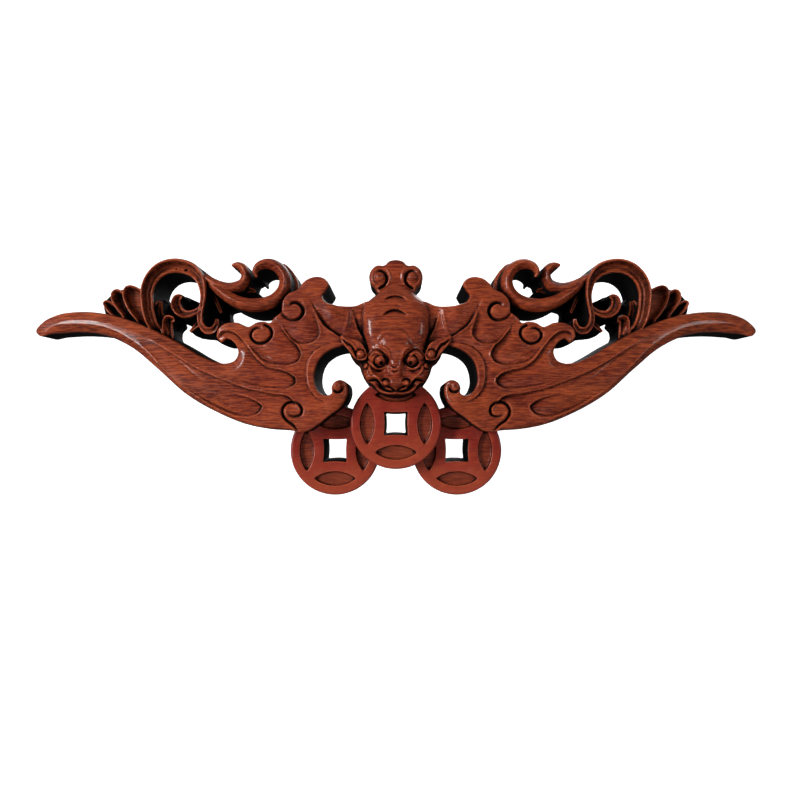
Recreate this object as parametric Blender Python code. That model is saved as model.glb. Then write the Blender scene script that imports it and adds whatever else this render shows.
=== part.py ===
"""Carved wall panel: a bat with spread wings, scrolled foliage on its shoulders and three pierced coins.

It is one piece of timber. Metres, +Z up. The flat back is the plane y = 0, the carved face looks along -Y,
and the origin is on the back, behind the bat's body.
"""

import math

import bmesh
import bpy
import numpy as np
from mathutils.geometry import delaunay_2d_cdt

# Overall size. Outlines are drawn on a pattern this many units wide, so one unit is about 1 mm.
SPAN = 0.400
PATTERN_WIDTH = 404
UNIT = SPAN / PATTERN_WIDTH

# Heights of the carved face over the flat back
TIP_HEIGHT = 0.016
SHOULDER_HEIGHT = 0.040
WING_RISE_POWER = 0.8
SCROLL_HEIGHT = 0.032
RING_HEIGHT = 0.028
LEAF_HEIGHT = 0.021
FAN_HEIGHT = 0.018
FAN_STEP = 0.0015
SMALL_CURL_DROP = 0.002
WEB_HEIGHT = 0.009
BODY_HEIGHT = 0.041
CREST_HEIGHT = 0.021
MUZZLE_HEIGHT = 0.043
SHOULDERS_DROP = 0.008
FOREHEAD_RISE = 0.001
BROW_RISE = 0.002
EYE_RISE = 0.002
NOSTRIL_RISE = 0.0015
SKULL_DROP = 0.001
CHEEK_DROP = 0.002
CHIN_DROP = 0.003
BODY_VALLEY_DEPTH = 0.0050
BODY_VALLEY_FROM = 0.034
BODY_VALLEY_TO = 0.018

# Sizes of the carved detail
EDGE_RADIUS = 0.0035
LOBE_DEPTH = 0.0022
LOBE_BORDER = 0.0020
LOBE_SWELL = 0.6
CURL_GROOVE_DEPTH = 0.0040
CURL_GROOVE_WIDTH = 0.0022
WEB_EDGE_RADIUS = 0.0010

# A ribbon's cross section: place from the inner edge (-1) to the outer one (1), and depth below its bead
RIBBON_PROFILE = [(-1, 0.0045), (-0.6, 0.0050), (0, 0.0038), (0.45, 0.0022), (0.7, 0), (1, 0.0014)]
FULL_RELIEF_HALF_WIDTH = 0.0030

# How far a ribbon's back reaches inward of its centre line, as a share of its inner half
SCROLL_FOOT = 0.8
SMALL_CURL_FOOT = 0.6
INNER_LEAF_FOOT = 0.4

# Coins
COIN_DIAMETER = 0.0486
COIN_HOLE = 0.0130
COIN_HOLE_BACK = 0.0110
COIN_HOLE_BOW = 0.0005
COIN_EDGE_ROUND = 0.0012
SIDE_COIN_FACE = 0.022
MIDDLE_COIN_FACE = 0.029
SIDE_COIN_OFFSET = 0.0332
SIDE_COIN_DROP = 0.0146
MIDDLE_COIN_Z = -0.0541
PETAL_LENGTH = 0.0224
PETAL_WIDTH = 0.0077
PETAL_OFFSET = 0.0153
PETAL_DEPTH = 0.0022
COIN_SEGMENTS = 56
PETAL_SEGMENTS = 8

# Working accuracy of the solid
DRAWING_STEP = 0.0016
GRAIN = 0.0011
FACE_BUDGET = 7600
WASTE = 0.003

# The left wing's outline in named stretches, from the tip along the top, round the opening beside the head
# and back along the foot
WING_STRETCHES = {
    "blade top": [
        (-202, -3.5), (-198, 1.5), (-189, 6), (-173, 7.5), (-154, 4.5), (-135.5, -2), (-119.5, -10),
        (-104, -18.8), (-97, -21.5), (-91, -22), (-86.8, -20.3), (-85, -16.5),
    ],
    "beak": [
        (-86.5, -11.5), (-90.5, -9.3), (-93.5, -11), (-96.2, -8.5), (-95.6, -4), (-91, -0.8), (-85, -0.5),
        (-78.5, -2.8),
    ],
    "shoulder curls": [
        (-74.5, -0.7), (-70, -0.3), (-67, -1), (-65, 1.5), (-61, 5), (-60.3, 10), (-57, 14.3), (-51.5, 17),
    ],
    "hump": [
        (-49.5, 19.7), (-46, 22.2), (-42, 23), (-38, 22.2), (-35.2, 18.8), (-36.8, 15.5), (-38.8, 12.8),
        (-37.5, 10), (-33, 8.2), (-22, 8), (-14, 10.5),
    ],
    "middle": [(-8, 2), (-8, -12), (-19, -14.8)],
    "opening": [
        (-28, -14), (-35, -16.2), (-40, -20.3), (-42.8, -27.5), (-42.8, -33), (-40.3, -38), (-37, -39.7),
        (-33.8, -38.5),
    ],
    "hook": [
        (-34, -35.5), (-32.4, -32.7), (-29.6, -31.5), (-26.6, -32.6), (-25.4, -37), (-26.6, -42),
        (-30, -46.8), (-35, -50.5), (-41, -55.2), (-48, -59),
    ],
    "foot": [
        (-56, -58.3), (-67, -57.5), (-80, -55), (-95.5, -49), (-113.5, -39), (-130, -25), (-145.5, -12.8),
        (-160.5, -6), (-177, -4), (-192, -4.6), (-200.5, -5.2),
    ],
}

# Membranes between the wing's finger bones, each a closed sunk field
LOBES = [
    [(-112, -29), (-94.5, -36), (-83.5, -39.5), (-75.5, -41.5), (-71.5, -45), (-73, -48.5), (-80, -49.5),
     (-90, -47), (-101, -42), (-110, -36)],
    [(-128, -14), (-115.5, -19.5), (-105, -25), (-94.5, -29), (-83.5, -33), (-74, -36), (-65, -37.5),
     (-58, -39.5), (-57, -43), (-64, -44), (-70, -41), (-82, -38), (-94, -34.5), (-108, -29), (-120, -22)],
    [(-80.5, -13), (-76, -19), (-72, -25), (-66, -27), (-58, -28.5), (-52.5, -31.5), (-53.5, -35), (-60, -36),
     (-69, -35.5), (-79, -32.5), (-90, -28), (-95, -24.5), (-86, -23)],
    [(-60.5, -4), (-57.5, -8), (-54.5, -12), (-51, -15.5), (-50, -20), (-52, -23.5), (-58, -24), (-66, -22.5),
     (-72.5, -19), (-77.5, -13), (-72, -14), (-66, -14), (-62, -9)],
    [(-44, 4.5), (-42, 1), (-41, -3), (-40.5, -7.5), (-42, -10.5), (-46, -11.5), (-51, -10), (-55, -6.5),
     (-58, -3), (-52, -3.5), (-47, 0)],
    [(-41.5, 5.5), (-39, 0), (-36, -4.5), (-32, -8), (-28, -8.5), (-26, -4), (-25, 3), (-31, 5)],
    [(-22.5, 4.5), (-20.5, -1), (-18, -5), (-15, -7.5), (-13, 0), (-16, 5)],
]

# Curls cut into the wing: centre x, z, outer and inner radius, start angle and sweep in degrees
CURLS = [
    (-71.5, -7.5, 6.3, 3.2, 72, -400),
    (-54, 6, 6.4, 2.6, 200, 300),
    (-54.5, -48, 7.2, 3.0, 265, -400),
]
CURL_STEPS = 36
SPLINE_STEPS = 12

# Foliage ribbons: x, z and half width along each centre line, from the root to the curled tip
RING_PATH = [
    (-131, -5, 2.4), (-133.4, 3, 2.6), (-134.8, 11, 2.6), (-134.7, 18, 2.6), (-132.2, 24.5, 2.9),
    (-127.7, 28.8, 3.2), (-122.5, 30.9, 3.3), (-116.5, 30.8, 3.3), (-110.8, 28.8, 3.4), (-106.9, 24.6, 2.7),
    (-105, 19.5, 1.9), (-104.6, 15, 1.5), (-105.3, 9, 1.5), (-106.3, 4, 1.7), (-105.6, -1, 1.9),
    (-103, -4, 1.9), (-99.5, -4, 1.6), (-97.3, -1.5, 1.2), (-96.5, 2, 0.7),
]
SCROLL_PATH = [
    (-103, 24, 1.8), (-97, 18.8, 2.4), (-91.5, 14.5, 2.8), (-85, 11, 3.1), (-79, 9.5, 3.1), (-72.5, 9.5, 3.1),
    (-66.5, 11.8, 2.9), (-61.8, 16, 2.9), (-60, 21.5, 2.8), (-61.6, 26.8, 2.7), (-65.5, 30.4, 2.7),
    (-70.2, 31, 2.5), (-74, 29.3, 2.1), (-75.8, 26.8, 1.6), (-75.4, 24.8, 1.0),
]
LEAF_PATH = [
    (-107, 28, 1.8), (-101, 23.8, 2.2), (-95, 21.2, 2.5), (-89.5, 20.8, 2.7), (-85.2, 22.4, 3.3),
    (-82.3, 26, 3.0), (-82.8, 30.2, 2.8), (-86.5, 31.6, 1.6), (-89, 29.8, 0.6),
]
SMALL_CURL_PATH = [
    (-104.5, 12.5, 1.3), (-106.5, 8.5, 1.6), (-110.5, 5.8, 2.0), (-115, 5, 2.3), (-118.7, 7, 2.5),
    (-120.3, 10.7, 2.3), (-119.2, 13.9, 1.7), (-116.7, 14.8, 1.0),
]
FAN_PATHS = [
    [(-137, -2, 1.8), (-143, 5.5, 3.0), (-146.8, 12, 4.0), (-148, 17.5, 4.3), (-147, 21.2, 3.5),
     (-146.4, 23.2, 1.4)],
    [(-143, 1.5, 1.5), (-151, 7.5, 2.5), (-155.3, 12.5, 3.2), (-157, 17.5, 3.4), (-156.3, 20.5, 2.7),
     (-155.8, 22.2, 1.2)],
    [(-150, 2.5, 1.3), (-158, 7.5, 2.2), (-162.5, 11, 2.6), (-164.6, 14.5, 2.4), (-164.4, 16.4, 1.0)],
]
INNER_LEAF_PATHS = [
    [(-127, -6, 1.6), (-130, 2, 2.0), (-131.5, 8, 2.0), (-130.5, 13, 1.2)],
    [(-124.5, -10, 1.8), (-126.8, -2, 2.6), (-126, 3, 2.4), (-122.5, 3, 1.2)],
    [(-106.5, 4, 1.8), (-110, 0, 1.8), (-114, -4, 0.7)],
    [(-101, 17, 1.0), (-98.5, 11, 1.2), (-96.5, 6.5, 0.8)],
]

# Low ground left between the foliage, as closed outlines
WEBS = [
    [(-112, 28), (-105, 23.5), (-94, 15.5), (-90.5, 10.5), (-95, 8.5), (-94.8, 4.5), (-93, -6.5), (-97, -8),
     (-103, -6.5), (-110, -5.8), (-114.5, -4.8), (-117, -2), (-113.5, 1.5), (-110, 6), (-109.5, 16)],
    [(-124.5, 15), (-123, 17.5), (-119.5, 17.5), (-116, 16), (-112, 14), (-107, 8), (-112, 2), (-120, 2),
     (-125, 8)],
    [(-92, 22.5), (-87, 28), (-80.5, 32.5), (-73, 31.5), (-68, 30), (-72, 28.5), (-77, 25), (-81, 22.5),
     (-81.5, 19), (-79.5, 13), (-86, 14), (-95, 18)],
    [(-139.5, 17), (-133.5, 17), (-130.5, 14.5), (-128, 12), (-124, 5), (-122, 1), (-124.5, -2), (-125, -5),
     (-125, -13), (-131, -9), (-140, -2)],
    [(-69, 10), (-61, 20), (-54, 19), (-46, 17), (-50, 8), (-60, 2), (-64, 3)],
    [(-167, 13), (-161, 20), (-150, 22.5), (-141, 20), (-137, 8), (-134, -6), (-150, -1), (-164, 4)],
]
SCROLL_BACKING = [
    (-67, 34), (-62.3, 34.3), (-58.8, 31.6), (-56, 27.8), (-54.2, 23), (-54.8, 17), (-60, 14), (-60, 22),
    (-62, 28),
]
SCROLL_BACKING_HEIGHT = 0.018
BEAK_BACKING = [(-104, -5.5), (-100, -9), (-96, -10.8), (-92, -11), (-87, -10), (-87, -4), (-99, -3)]

# The bat's body, as ellipsoids: centre x, z, height of the crown over the back, and radii across, up and out
BODY_FORMS = {
    "trunk": (0, 0.5, BODY_HEIGHT, 16.6, 20.5, 13),
    "shoulders": (0, 6.5, BODY_HEIGHT - SHOULDERS_DROP, 18.4, 13.5, 12),
    "forehead": (0, -13.5, BODY_HEIGHT + FOREHEAD_RISE, 12.5, 10, 10),
    "skull": (0, -23.5, BODY_HEIGHT - SKULL_DROP, 17.0, 12.0, 14),
    "nose": (0, -24.5, MUZZLE_HEIGHT - SKULL_DROP, 4.2, 9.0, 7),
    "muzzle": (0, -33.2, MUZZLE_HEIGHT, 10.8, 4.8, 10),
    "chin": (0, -36.2, MUZZLE_HEIGHT - CHIN_DROP, 8.6, 3.2, 8),
    "left_brow": (-9.3, -18.2, BODY_HEIGHT + BROW_RISE, 5.8, 3.4, 6),
    "left_eye": (-8.6, -22.6, BODY_HEIGHT + EYE_RISE, 3.2, 3.2, 5),
    "left_cheek": (-13.2, -28.5, BODY_HEIGHT - CHEEK_DROP, 3.8, 6.0, 9),
    "left_nostril": (-4.8, -32.8, MUZZLE_HEIGHT + NOSTRIL_RISE, 2.6, 2.2, 4),
    "left_curl": (-16.0, -23.4, BODY_HEIGHT - SKULL_DROP, 2.2, 2.2, 5),
}
EAR_PATH = [(-14.5, -20, 3.0), (-18, -17, 4.2), (-22.5, -12.5, 3.3), (-28.8, -7.2, 0.8)]
EAR_HEIGHT = 0.040
NECK_OUTLINE = [(-8, 19), (-13, 10), (-21, -6), (-27, -12.5), (-25.6, -16), (-24, -19.5), (-20.6, -22.6),
                (-18.9, -27.2), (-17.4, -30.5), (-15, -34), (-11, -41)]
NECK_HEIGHT = 0.022
CREST_OUTLINE = [(-4, 35.2), (-6.5, 33), (-10, 33.1), (-13.3, 31), (-14.9, 27), (-14.2, 23), (-11.5, 19.5),
                 (-9, 12)]
CREST_CURL = (-9.0, 26.3, 4.6, 2.2, 150, -400)


def ease(edge_low, edge_high, value):
    """A smooth step from 0 at edge_low to 1 at edge_high."""
    t = np.clip((value - edge_low) / (edge_high - edge_low), 0, 1)
    return t * t * (3 - 2 * t)


def smooth_line(points, step, closed=False):
    """A curve through the points, as rows a step apart. Further columns, such as a width, go along."""
    knots = np.array(points, float)
    if closed:
        knots = np.vstack([knots[-1], knots, knots[:2]])
    else:
        knots = np.vstack([2 * knots[0] - knots[1], knots, 2 * knots[-1] - knots[-2]])
    gap = np.linalg.norm(np.diff(knots[:, :2], axis=0), axis=1)[:, None]
    chord = np.diff(knots, axis=0) / gap
    slope = (chord[:-1] * gap[1:] + chord[1:] * gap[:-1]) / (gap[:-1] + gap[1:])
    t = np.linspace(0, 1, SPLINE_STEPS, endpoint=False)[:, None]
    rows = []
    for i in range(1, len(knots) - 2):
        leave, arrive = slope[i - 1] * gap[i], slope[i] * gap[i]
        bend = t**2 * (3 - 2 * t)
        swing = t * (1 - t) * (leave * (1 - t) - arrive * t)
        rows.append(knots[i] * (1 - bend) + knots[i + 1] * bend + swing)
    rows.append(knots[None, 1 if closed else -2])
    dense = np.vstack(rows)
    gone = np.concatenate([[0], np.cumsum(np.linalg.norm(np.diff(dense[:, :2], axis=0), axis=1))])
    count = max(4, round(gone[-1] / step))
    at = np.linspace(0, gone[-1], count + 1)
    line = np.stack([np.interp(at, gone, column) for column in dense.T], axis=1)
    return line[:-1] if closed else line


def distance_to(line, x, z, closed=False):
    """How far each point (x, z) is from a line of points."""
    ends = np.vstack([line[:, :2], line[:1, :2]]) if closed else line[:, :2]
    best = np.full(len(x), np.inf)
    for (ax, az), (bx, bz) in zip(ends[:-1], ends[1:]):
        dx, dz = bx - ax, bz - az
        t = np.clip(((x - ax) * dx + (z - az) * dz) / max(dx * dx + dz * dz, 1e-18), 0, 1)
        best = np.minimum(best, (x - ax - t * dx) ** 2 + (z - az - t * dz) ** 2)
    return np.sqrt(best)


def inside(line, x, z):
    """Whether each point (x, z) is inside a closed line."""
    within = np.zeros(len(x), bool)
    for (ax, az), (bx, bz) in zip(line, np.roll(line, -1, axis=0)):
        crosses = (az > z) != (bz > z)
        if az != bz:
            within ^= crosses & (x < (bx - ax) * (z - az) / (bz - az) + ax)
    return within


def spiral(centre_x, centre_z, outer, inner, start, sweep):
    """Points of a curl's groove, from its outer end to its inner one, in pattern units."""
    share = np.linspace(0, 1, CURL_STEPS)
    angle = np.radians(start + sweep * share)
    radius = outer + (inner - outer) * share**1.3
    return np.stack([centre_x + radius * np.cos(angle), centre_z + radius * np.sin(angle)], axis=1)


def wing_height(x):
    """Height of the wing's face over the back, rising from the tip to the shoulder."""
    inward = np.clip(1 - np.abs(x) / (SPAN / 2), 0, 1)
    return TIP_HEIGHT + (SHOULDER_HEIGHT - TIP_HEIGHT) * inward**WING_RISE_POWER


def rounded_edge(d, radius=EDGE_RADIUS):
    """How far a face drops at distance d from its outline, as a quarter round."""
    inset = np.clip(radius - d, 0, radius)
    return radius - np.sqrt(radius**2 - inset**2)


def groove(d, width, depth):
    """Depth of a cut with a round bottom at distance d from its line."""
    return depth * np.clip(1 - (d / width) ** 2, 0, 1)


def carved_wing(x, z, d):
    """The wing's face: crowned edges, sunk membranes, curls and the lip round the opening beside the head."""
    height = wing_height(x) - rounded_edge(d)
    height -= BODY_VALLEY_DEPTH * ease(BODY_VALLEY_FROM, BODY_VALLEY_TO, np.abs(x))
    for field in LOBES:
        border = smooth_line(np.array(field) * UNIT, DRAWING_STEP, closed=True)
        depth = np.where(inside(border, x, z), distance_to(border, x, z, closed=True), 0)
        swell = LOBE_SWELL * ease(LOBE_BORDER, 3 * LOBE_BORDER, depth)
        height -= LOBE_DEPTH * ease(0, LOBE_BORDER, depth) * (1 - swell)
    for curl in CURLS:
        height -= groove(distance_to(spiral(*curl) * UNIT, x, z), CURL_GROOVE_WIDTH, CURL_GROOVE_DEPTH)
    return height


def slab(outline, top):
    """A closed plate with a smooth outline and its face at height top(x, z, d) over the back."""
    loop = smooth_line(np.array(outline, float) * UNIT, DRAWING_STEP, closed=True)
    low, high = loop.min(axis=0), loop.max(axis=0)
    columns = np.arange(low[0], high[0], DRAWING_STEP)
    x, z = np.stack(np.meshgrid(columns, np.arange(low[1], high[1], DRAWING_STEP))).reshape(2, -1)
    kept = inside(loop, x, z)
    x, z = x[kept], z[kept]
    clear = distance_to(loop, x, z, closed=True) > DRAWING_STEP / 2
    flat = np.vstack([loop, np.stack([x[clear], z[clear]], axis=1)])
    ring = [(i, (i + 1) % len(loop)) for i in range(len(loop))]
    points, _, faces, *_ = delaunay_2d_cdt([tuple(p) for p in flat], ring, [], 2, 1e-7)
    points = np.array([tuple(p) for p in points])
    height = top(points[:, 0], points[:, 1], distance_to(loop, points[:, 0], points[:, 1], closed=True))
    return plate_between(points, faces, height)


def plate_between(points, faces, height):
    """Joins a flat triangulation at the carved height to its copy behind the back plane."""
    shape = bmesh.new()
    front = [shape.verts.new((x, -h, z)) for (x, z), h in zip(points, height)]
    back = [shape.verts.new((x, WASTE, z)) for x, z in points]
    for face in faces:
        shape.faces.new([front[i] for i in face])
        shape.faces.new([back[i] for i in reversed(face)])
    for edge in [e for e in shape.edges if e.is_boundary and e.verts[0].co.y < 0]:
        a, b = (front.index(v) for v in edge.verts)
        shape.faces.new((front[a], front[b], back[b], back[a]))
    return shape


def ribbon(path, height, bead_side=1, foot=1.0):
    """A swept band with a beaded outer edge, a scooped face and a back that keeps a share of its inner half.

    The bead is on the left of the path's travel where bead_side is 1, and on the right where it is -1.
    """
    line = smooth_line(np.array(path, float) * UNIT, DRAWING_STEP)
    along = np.gradient(line[:, :2], axis=0)
    along /= np.linalg.norm(along, axis=1)[:, None]
    outward = np.stack([-along[:, 1], along[:, 0]], axis=1) * bead_side
    across, depth = np.array(RIBBON_PROFILE).T
    shape = bmesh.new()
    rings = []
    for (x, z, half), (nx, nz) in zip(line, outward):
        face = -height + depth * min(1, half / FULL_RELIEF_HALF_WIDTH)
        ring = [shape.verts.new((x + nx * half * u, y, z + nz * half * u)) for u, y in zip(across, face)]
        ring += [shape.verts.new((x + nx * half * u, WASTE, z + nz * half * u)) for u in (1, -foot)]
        rings.append(ring)
    for ring, following in zip(rings[:-1], rings[1:]):
        for i in range(len(ring)):
            j = (i + 1) % len(ring)
            shape.faces.new((ring[i], ring[j], following[j], following[i]))
    shape.faces.new(rings[0])
    shape.faces.new(rings[-1][::-1])
    return shape


def dome(centre_x, centre_z, crown, across, up, out):
    """An ellipsoid whose crown stands at a height over the back."""
    shape = bmesh.new()
    bmesh.ops.create_uvsphere(shape, u_segments=32, v_segments=20, radius=1)
    for vert in shape.verts:
        x, y, z = vert.co
        vert.co = ((centre_x + across * x) * UNIT, -crown + out * UNIT * (1 + y), (centre_z + up * z) * UNIT)
    return shape


def both_sides(points):
    """A closed outline from its left side, given from the top down."""
    return points + [(-x, z) for x, z in reversed(points)]


def flat_top(height, radius=EDGE_RADIUS):
    """A level face with a rounded edge."""
    return lambda x, z, d: height - rounded_edge(d, radius)


def carved_crest(x, z, d):
    """The tail crest: level, with a rounded edge and a curl cut on each side."""
    curl = distance_to(spiral(*CREST_CURL) * UNIT, -np.abs(x), z)
    return CREST_HEIGHT - rounded_edge(d) - groove(curl, CURL_GROOVE_WIDTH, CURL_GROOVE_DEPTH / 2)


def mirrored(shape):
    """A copy of the shape on the other side of the middle plane."""
    copy = shape.copy()
    for vert in copy.verts:
        vert.co.x = -vert.co.x
    return copy


def carving():
    """Every carved form except the coins, as closed shapes that overlap."""
    left = [slab([point for stretch in WING_STRETCHES.values() for point in stretch], carved_wing)]
    left += [ribbon(RING_PATH, RING_HEIGHT), ribbon(LEAF_PATH, RING_HEIGHT, bead_side=-1)]
    left += [ribbon(SCROLL_PATH, SCROLL_HEIGHT, bead_side=-1, foot=SCROLL_FOOT)]
    left += [ribbon(SMALL_CURL_PATH, RING_HEIGHT - SMALL_CURL_DROP, foot=SMALL_CURL_FOOT)]
    left += [slab(SCROLL_BACKING, flat_top(SCROLL_BACKING_HEIGHT, WEB_EDGE_RADIUS))]
    left += [slab(BEAK_BACKING, flat_top(WEB_HEIGHT, WEB_EDGE_RADIUS))]
    left += [ribbon(path, FAN_HEIGHT - FAN_STEP * i) for i, path in enumerate(FAN_PATHS)]
    left += [ribbon(path, LEAF_HEIGHT, foot=INNER_LEAF_FOOT) for path in INNER_LEAF_PATHS]
    left += [slab(web, flat_top(WEB_HEIGHT, WEB_EDGE_RADIUS)) for web in WEBS]
    left += [ribbon(EAR_PATH, EAR_HEIGHT)]
    left += [dome(*form) for name, form in BODY_FORMS.items() if name.startswith("left")]
    middle = [slab(both_sides(CREST_OUTLINE), carved_crest)]
    middle += [slab(both_sides(NECK_OUTLINE), flat_top(NECK_HEIGHT))]
    middle += [dome(*form) for name, form in BODY_FORMS.items() if not name.startswith("left")]
    return left + [mirrored(shape) for shape in left] + middle


def joined(shapes, name):
    """One object holding all the shapes, each with its faces pointing out."""
    total = bmesh.new()
    for shape in shapes:
        bmesh.ops.recalc_face_normals(shape, faces=shape.faces)
        part = bpy.data.meshes.new("part")
        shape.to_mesh(part)
        total.from_mesh(part)
        bpy.data.meshes.remove(part)
        shape.free()
    mesh = bpy.data.meshes.new(name)
    total.to_mesh(mesh)
    total.free()
    obj = bpy.data.objects.new(name, mesh)
    bpy.context.scene.collection.objects.link(obj)
    return obj


def helper(shapes, name):
    """A cutter or a tool shape, which is not part of the model."""
    obj = joined(shapes, name)
    obj.hide_render = True
    obj.display_type = "WIRE"
    return obj


def prism(outline, front, back):
    """A straight-sided block over an outline of (x, z) points in metres, between two values of y."""
    shape = bmesh.new()
    face = shape.faces.new([shape.verts.new((x, front, z)) for x, z in outline])
    moved = bmesh.ops.extrude_face_region(shape, geom=[face])["geom"]
    ends = [v for v in moved if isinstance(v, bmesh.types.BMVert)]
    bmesh.ops.translate(shape, vec=(0, back - front, 0), verts=ends)
    return shape


def petal(centre_x, centre_z, upright):
    """The outline of one pointed field on a coin, between two arcs."""
    half, rise = PETAL_LENGTH / 2, PETAL_WIDTH / 2
    radius = (half**2 + rise**2) / (2 * rise)
    angles = np.linspace(-math.asin(half / radius), math.asin(half / radius), PETAL_SEGMENTS + 1)
    arc = np.stack([radius * np.sin(angles), radius * np.cos(angles) - (radius - rise)], axis=1)
    outline = np.vstack([arc[:-1], -arc[:-1]])
    if upright:
        outline = outline[:, ::-1]
    return outline + (centre_x, centre_z)


def add_boolean(obj, other, operation):
    """A Boolean modifier on obj."""
    modifier = obj.modifiers.new(f"{operation.lower()} {other.name}", "BOOLEAN")
    modifier.operation = operation
    modifier.object = other
    modifier.solver = "EXACT"


def square(centre_x, centre_z, width):
    """The outline of a square with its sides bowed inward."""
    half = width / 2
    waist = half - COIN_HOLE_BOW
    side = [(-half, -half), (0, -waist), (half, -half), (waist, 0)]
    return [(centre_x + x, centre_z + z) for x, z in side + [(-x, -z) for x, z in side]]


def square_hole(centre_x, centre_z, face):
    """The cutter of a coin's hole, which narrows towards the back."""
    shape = bmesh.new()
    slope = (COIN_HOLE - COIN_HOLE_BACK) / face
    ends = [(-face - 0.001, COIN_HOLE + 0.001 * slope), (2 * WASTE, COIN_HOLE_BACK - 2 * WASTE * slope)]
    rings = [[shape.verts.new((x, y, z)) for x, z in square(centre_x, centre_z, width)] for y, width in ends]
    for a, b, c, d in zip(rings[0], rings[0][1:] + rings[0][:1], rings[1][1:] + rings[1][:1], rings[1]):
        shape.faces.new((a, b, c, d))
    shape.faces.new(rings[0])
    shape.faces.new(rings[1][::-1])
    return shape


def disc(centre_x, centre_z, face):
    """A round blank with a chamfered front edge."""
    angles = np.arange(COIN_SEGMENTS) * 2 * math.pi / COIN_SEGMENTS
    radius = COIN_DIAMETER / 2
    outline = np.stack([centre_x + radius * np.cos(angles), centre_z + radius * np.sin(angles)], axis=1)
    blank = prism(outline, -face, WASTE)
    rim = [e for e in blank.edges if all(v.co.y < 0 for v in e.verts)]
    bmesh.ops.bevel(blank, geom=rim, offset=COIN_EDGE_ROUND, segments=1, affect="EDGES", profile=0.5)
    return blank


def coins(name, places, face):
    """Coins that lie clear of each other, each with a square hole and four sunk petals."""
    cuts = [square_hole(x, z, face) for x, z in places]
    for x, z in places:
        for dx, dz in ((-1, 0), (1, 0), (0, -1), (0, 1)):
            outline = petal(x + dx * PETAL_OFFSET, z + dz * PETAL_OFFSET, upright=dx != 0)
            cuts.append(prism(outline, -face - 0.001, -face + PETAL_DEPTH))
    obj = helper([disc(x, z, face) for x, z in places], name)
    add_boolean(obj, helper(cuts, f"{name} cuts"), "DIFFERENCE")
    return obj


def wood():
    """Red-brown lacquered timber."""
    material = bpy.data.materials.new("carved_wood")
    material.use_nodes = True
    shader = material.node_tree.nodes["Principled BSDF"]
    shader.inputs["Base Color"].default_value = (0.23, 0.055, 0.028, 1)
    shader.inputs["Roughness"].default_value = 0.38
    shader.inputs["Metallic"].default_value = 0.0
    return material


def build():
    """Fuses the carving, adds the coins, cuts their holes and planes the back flat."""
    for obj in list(bpy.data.objects):
        bpy.data.objects.remove(obj)
    panel = joined(carving(), "carved_bat_panel")
    fuse = panel.modifiers.new("fuse", "REMESH")
    fuse.mode = "VOXEL"
    fuse.voxel_size = GRAIN
    bpy.context.view_layer.update()
    fused = panel.evaluated_get(bpy.context.evaluated_depsgraph_get())
    ratio = FACE_BUDGET / (2 * len(fused.data.polygons))
    thin = panel.modifiers.new("thin", "DECIMATE")
    thin.ratio = ratio
    side_z = MIDDLE_COIN_Z - SIDE_COIN_DROP
    sides = [(-SIDE_COIN_OFFSET, side_z), (SIDE_COIN_OFFSET, side_z)]
    add_boolean(panel, coins("side coins", sides, SIDE_COIN_FACE), "UNION")
    add_boolean(panel, coins("middle coin", [(0, MIDDLE_COIN_Z)], MIDDLE_COIN_FACE), "UNION")
    waste = [(-SPAN, -SPAN), (SPAN, -SPAN), (SPAN, SPAN), (-SPAN, SPAN)]
    add_boolean(panel, helper([prism(waste, 0, 3 * WASTE)], "planed back"), "DIFFERENCE")
    panel.data.materials.append(wood())


build()
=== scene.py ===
"""Looks of the carved timber wall panel: a bat with spread wings, scrolled foliage and three pierced coins.

Metres, +Z up. The flat back is the plane y = 0 and the carved face looks along -Y. Outlines are drawn in
pattern units, 404 of them across the span, and the right half mirrors the left one.
"""

import logging
import math
from collections.abc import Callable, Sequence
from dataclasses import dataclass, field
from enum import Enum

import bmesh
import bpy
import numpy as np
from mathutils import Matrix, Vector
from mathutils.geometry import delaunay_2d_cdt
from mathutils.kdtree import KDTree


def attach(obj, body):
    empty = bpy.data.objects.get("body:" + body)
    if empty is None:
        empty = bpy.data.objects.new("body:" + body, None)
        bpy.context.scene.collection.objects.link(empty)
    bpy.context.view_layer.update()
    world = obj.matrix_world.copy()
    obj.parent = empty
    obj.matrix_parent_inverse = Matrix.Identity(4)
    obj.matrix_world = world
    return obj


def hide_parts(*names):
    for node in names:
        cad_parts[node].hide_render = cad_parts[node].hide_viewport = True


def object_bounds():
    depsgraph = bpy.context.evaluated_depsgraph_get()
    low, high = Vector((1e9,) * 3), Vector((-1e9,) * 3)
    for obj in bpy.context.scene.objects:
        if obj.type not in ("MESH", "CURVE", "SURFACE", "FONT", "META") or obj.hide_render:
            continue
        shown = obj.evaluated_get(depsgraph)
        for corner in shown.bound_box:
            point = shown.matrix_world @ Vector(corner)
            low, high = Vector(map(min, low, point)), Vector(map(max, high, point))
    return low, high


logging.basicConfig(level=logging.INFO, format="%(relativeCreated)d ms %(name)s: %(message)s")
LOG = logging.getLogger("panel")

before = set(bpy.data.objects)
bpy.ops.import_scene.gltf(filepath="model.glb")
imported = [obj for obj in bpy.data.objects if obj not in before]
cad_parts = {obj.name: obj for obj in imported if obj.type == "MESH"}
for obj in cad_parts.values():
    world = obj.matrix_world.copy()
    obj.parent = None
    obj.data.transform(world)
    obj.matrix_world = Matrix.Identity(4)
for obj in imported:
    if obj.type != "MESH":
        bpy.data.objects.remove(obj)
CAD_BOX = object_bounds()

SPAN = 0.400  # from wing tip to wing tip
UNIT = SPAN / 404  # of the drawn pattern
MM = 0.001
WASTE = 3 * MM  # timber behind the back plane, planed off at the end
DRAWING_STEP = 0.45 * MM  # between points along drawn lines and over carved faces

Row = tuple[float, ...]
Face = Callable[[np.ndarray, np.ndarray, np.ndarray], np.ndarray]


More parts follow.
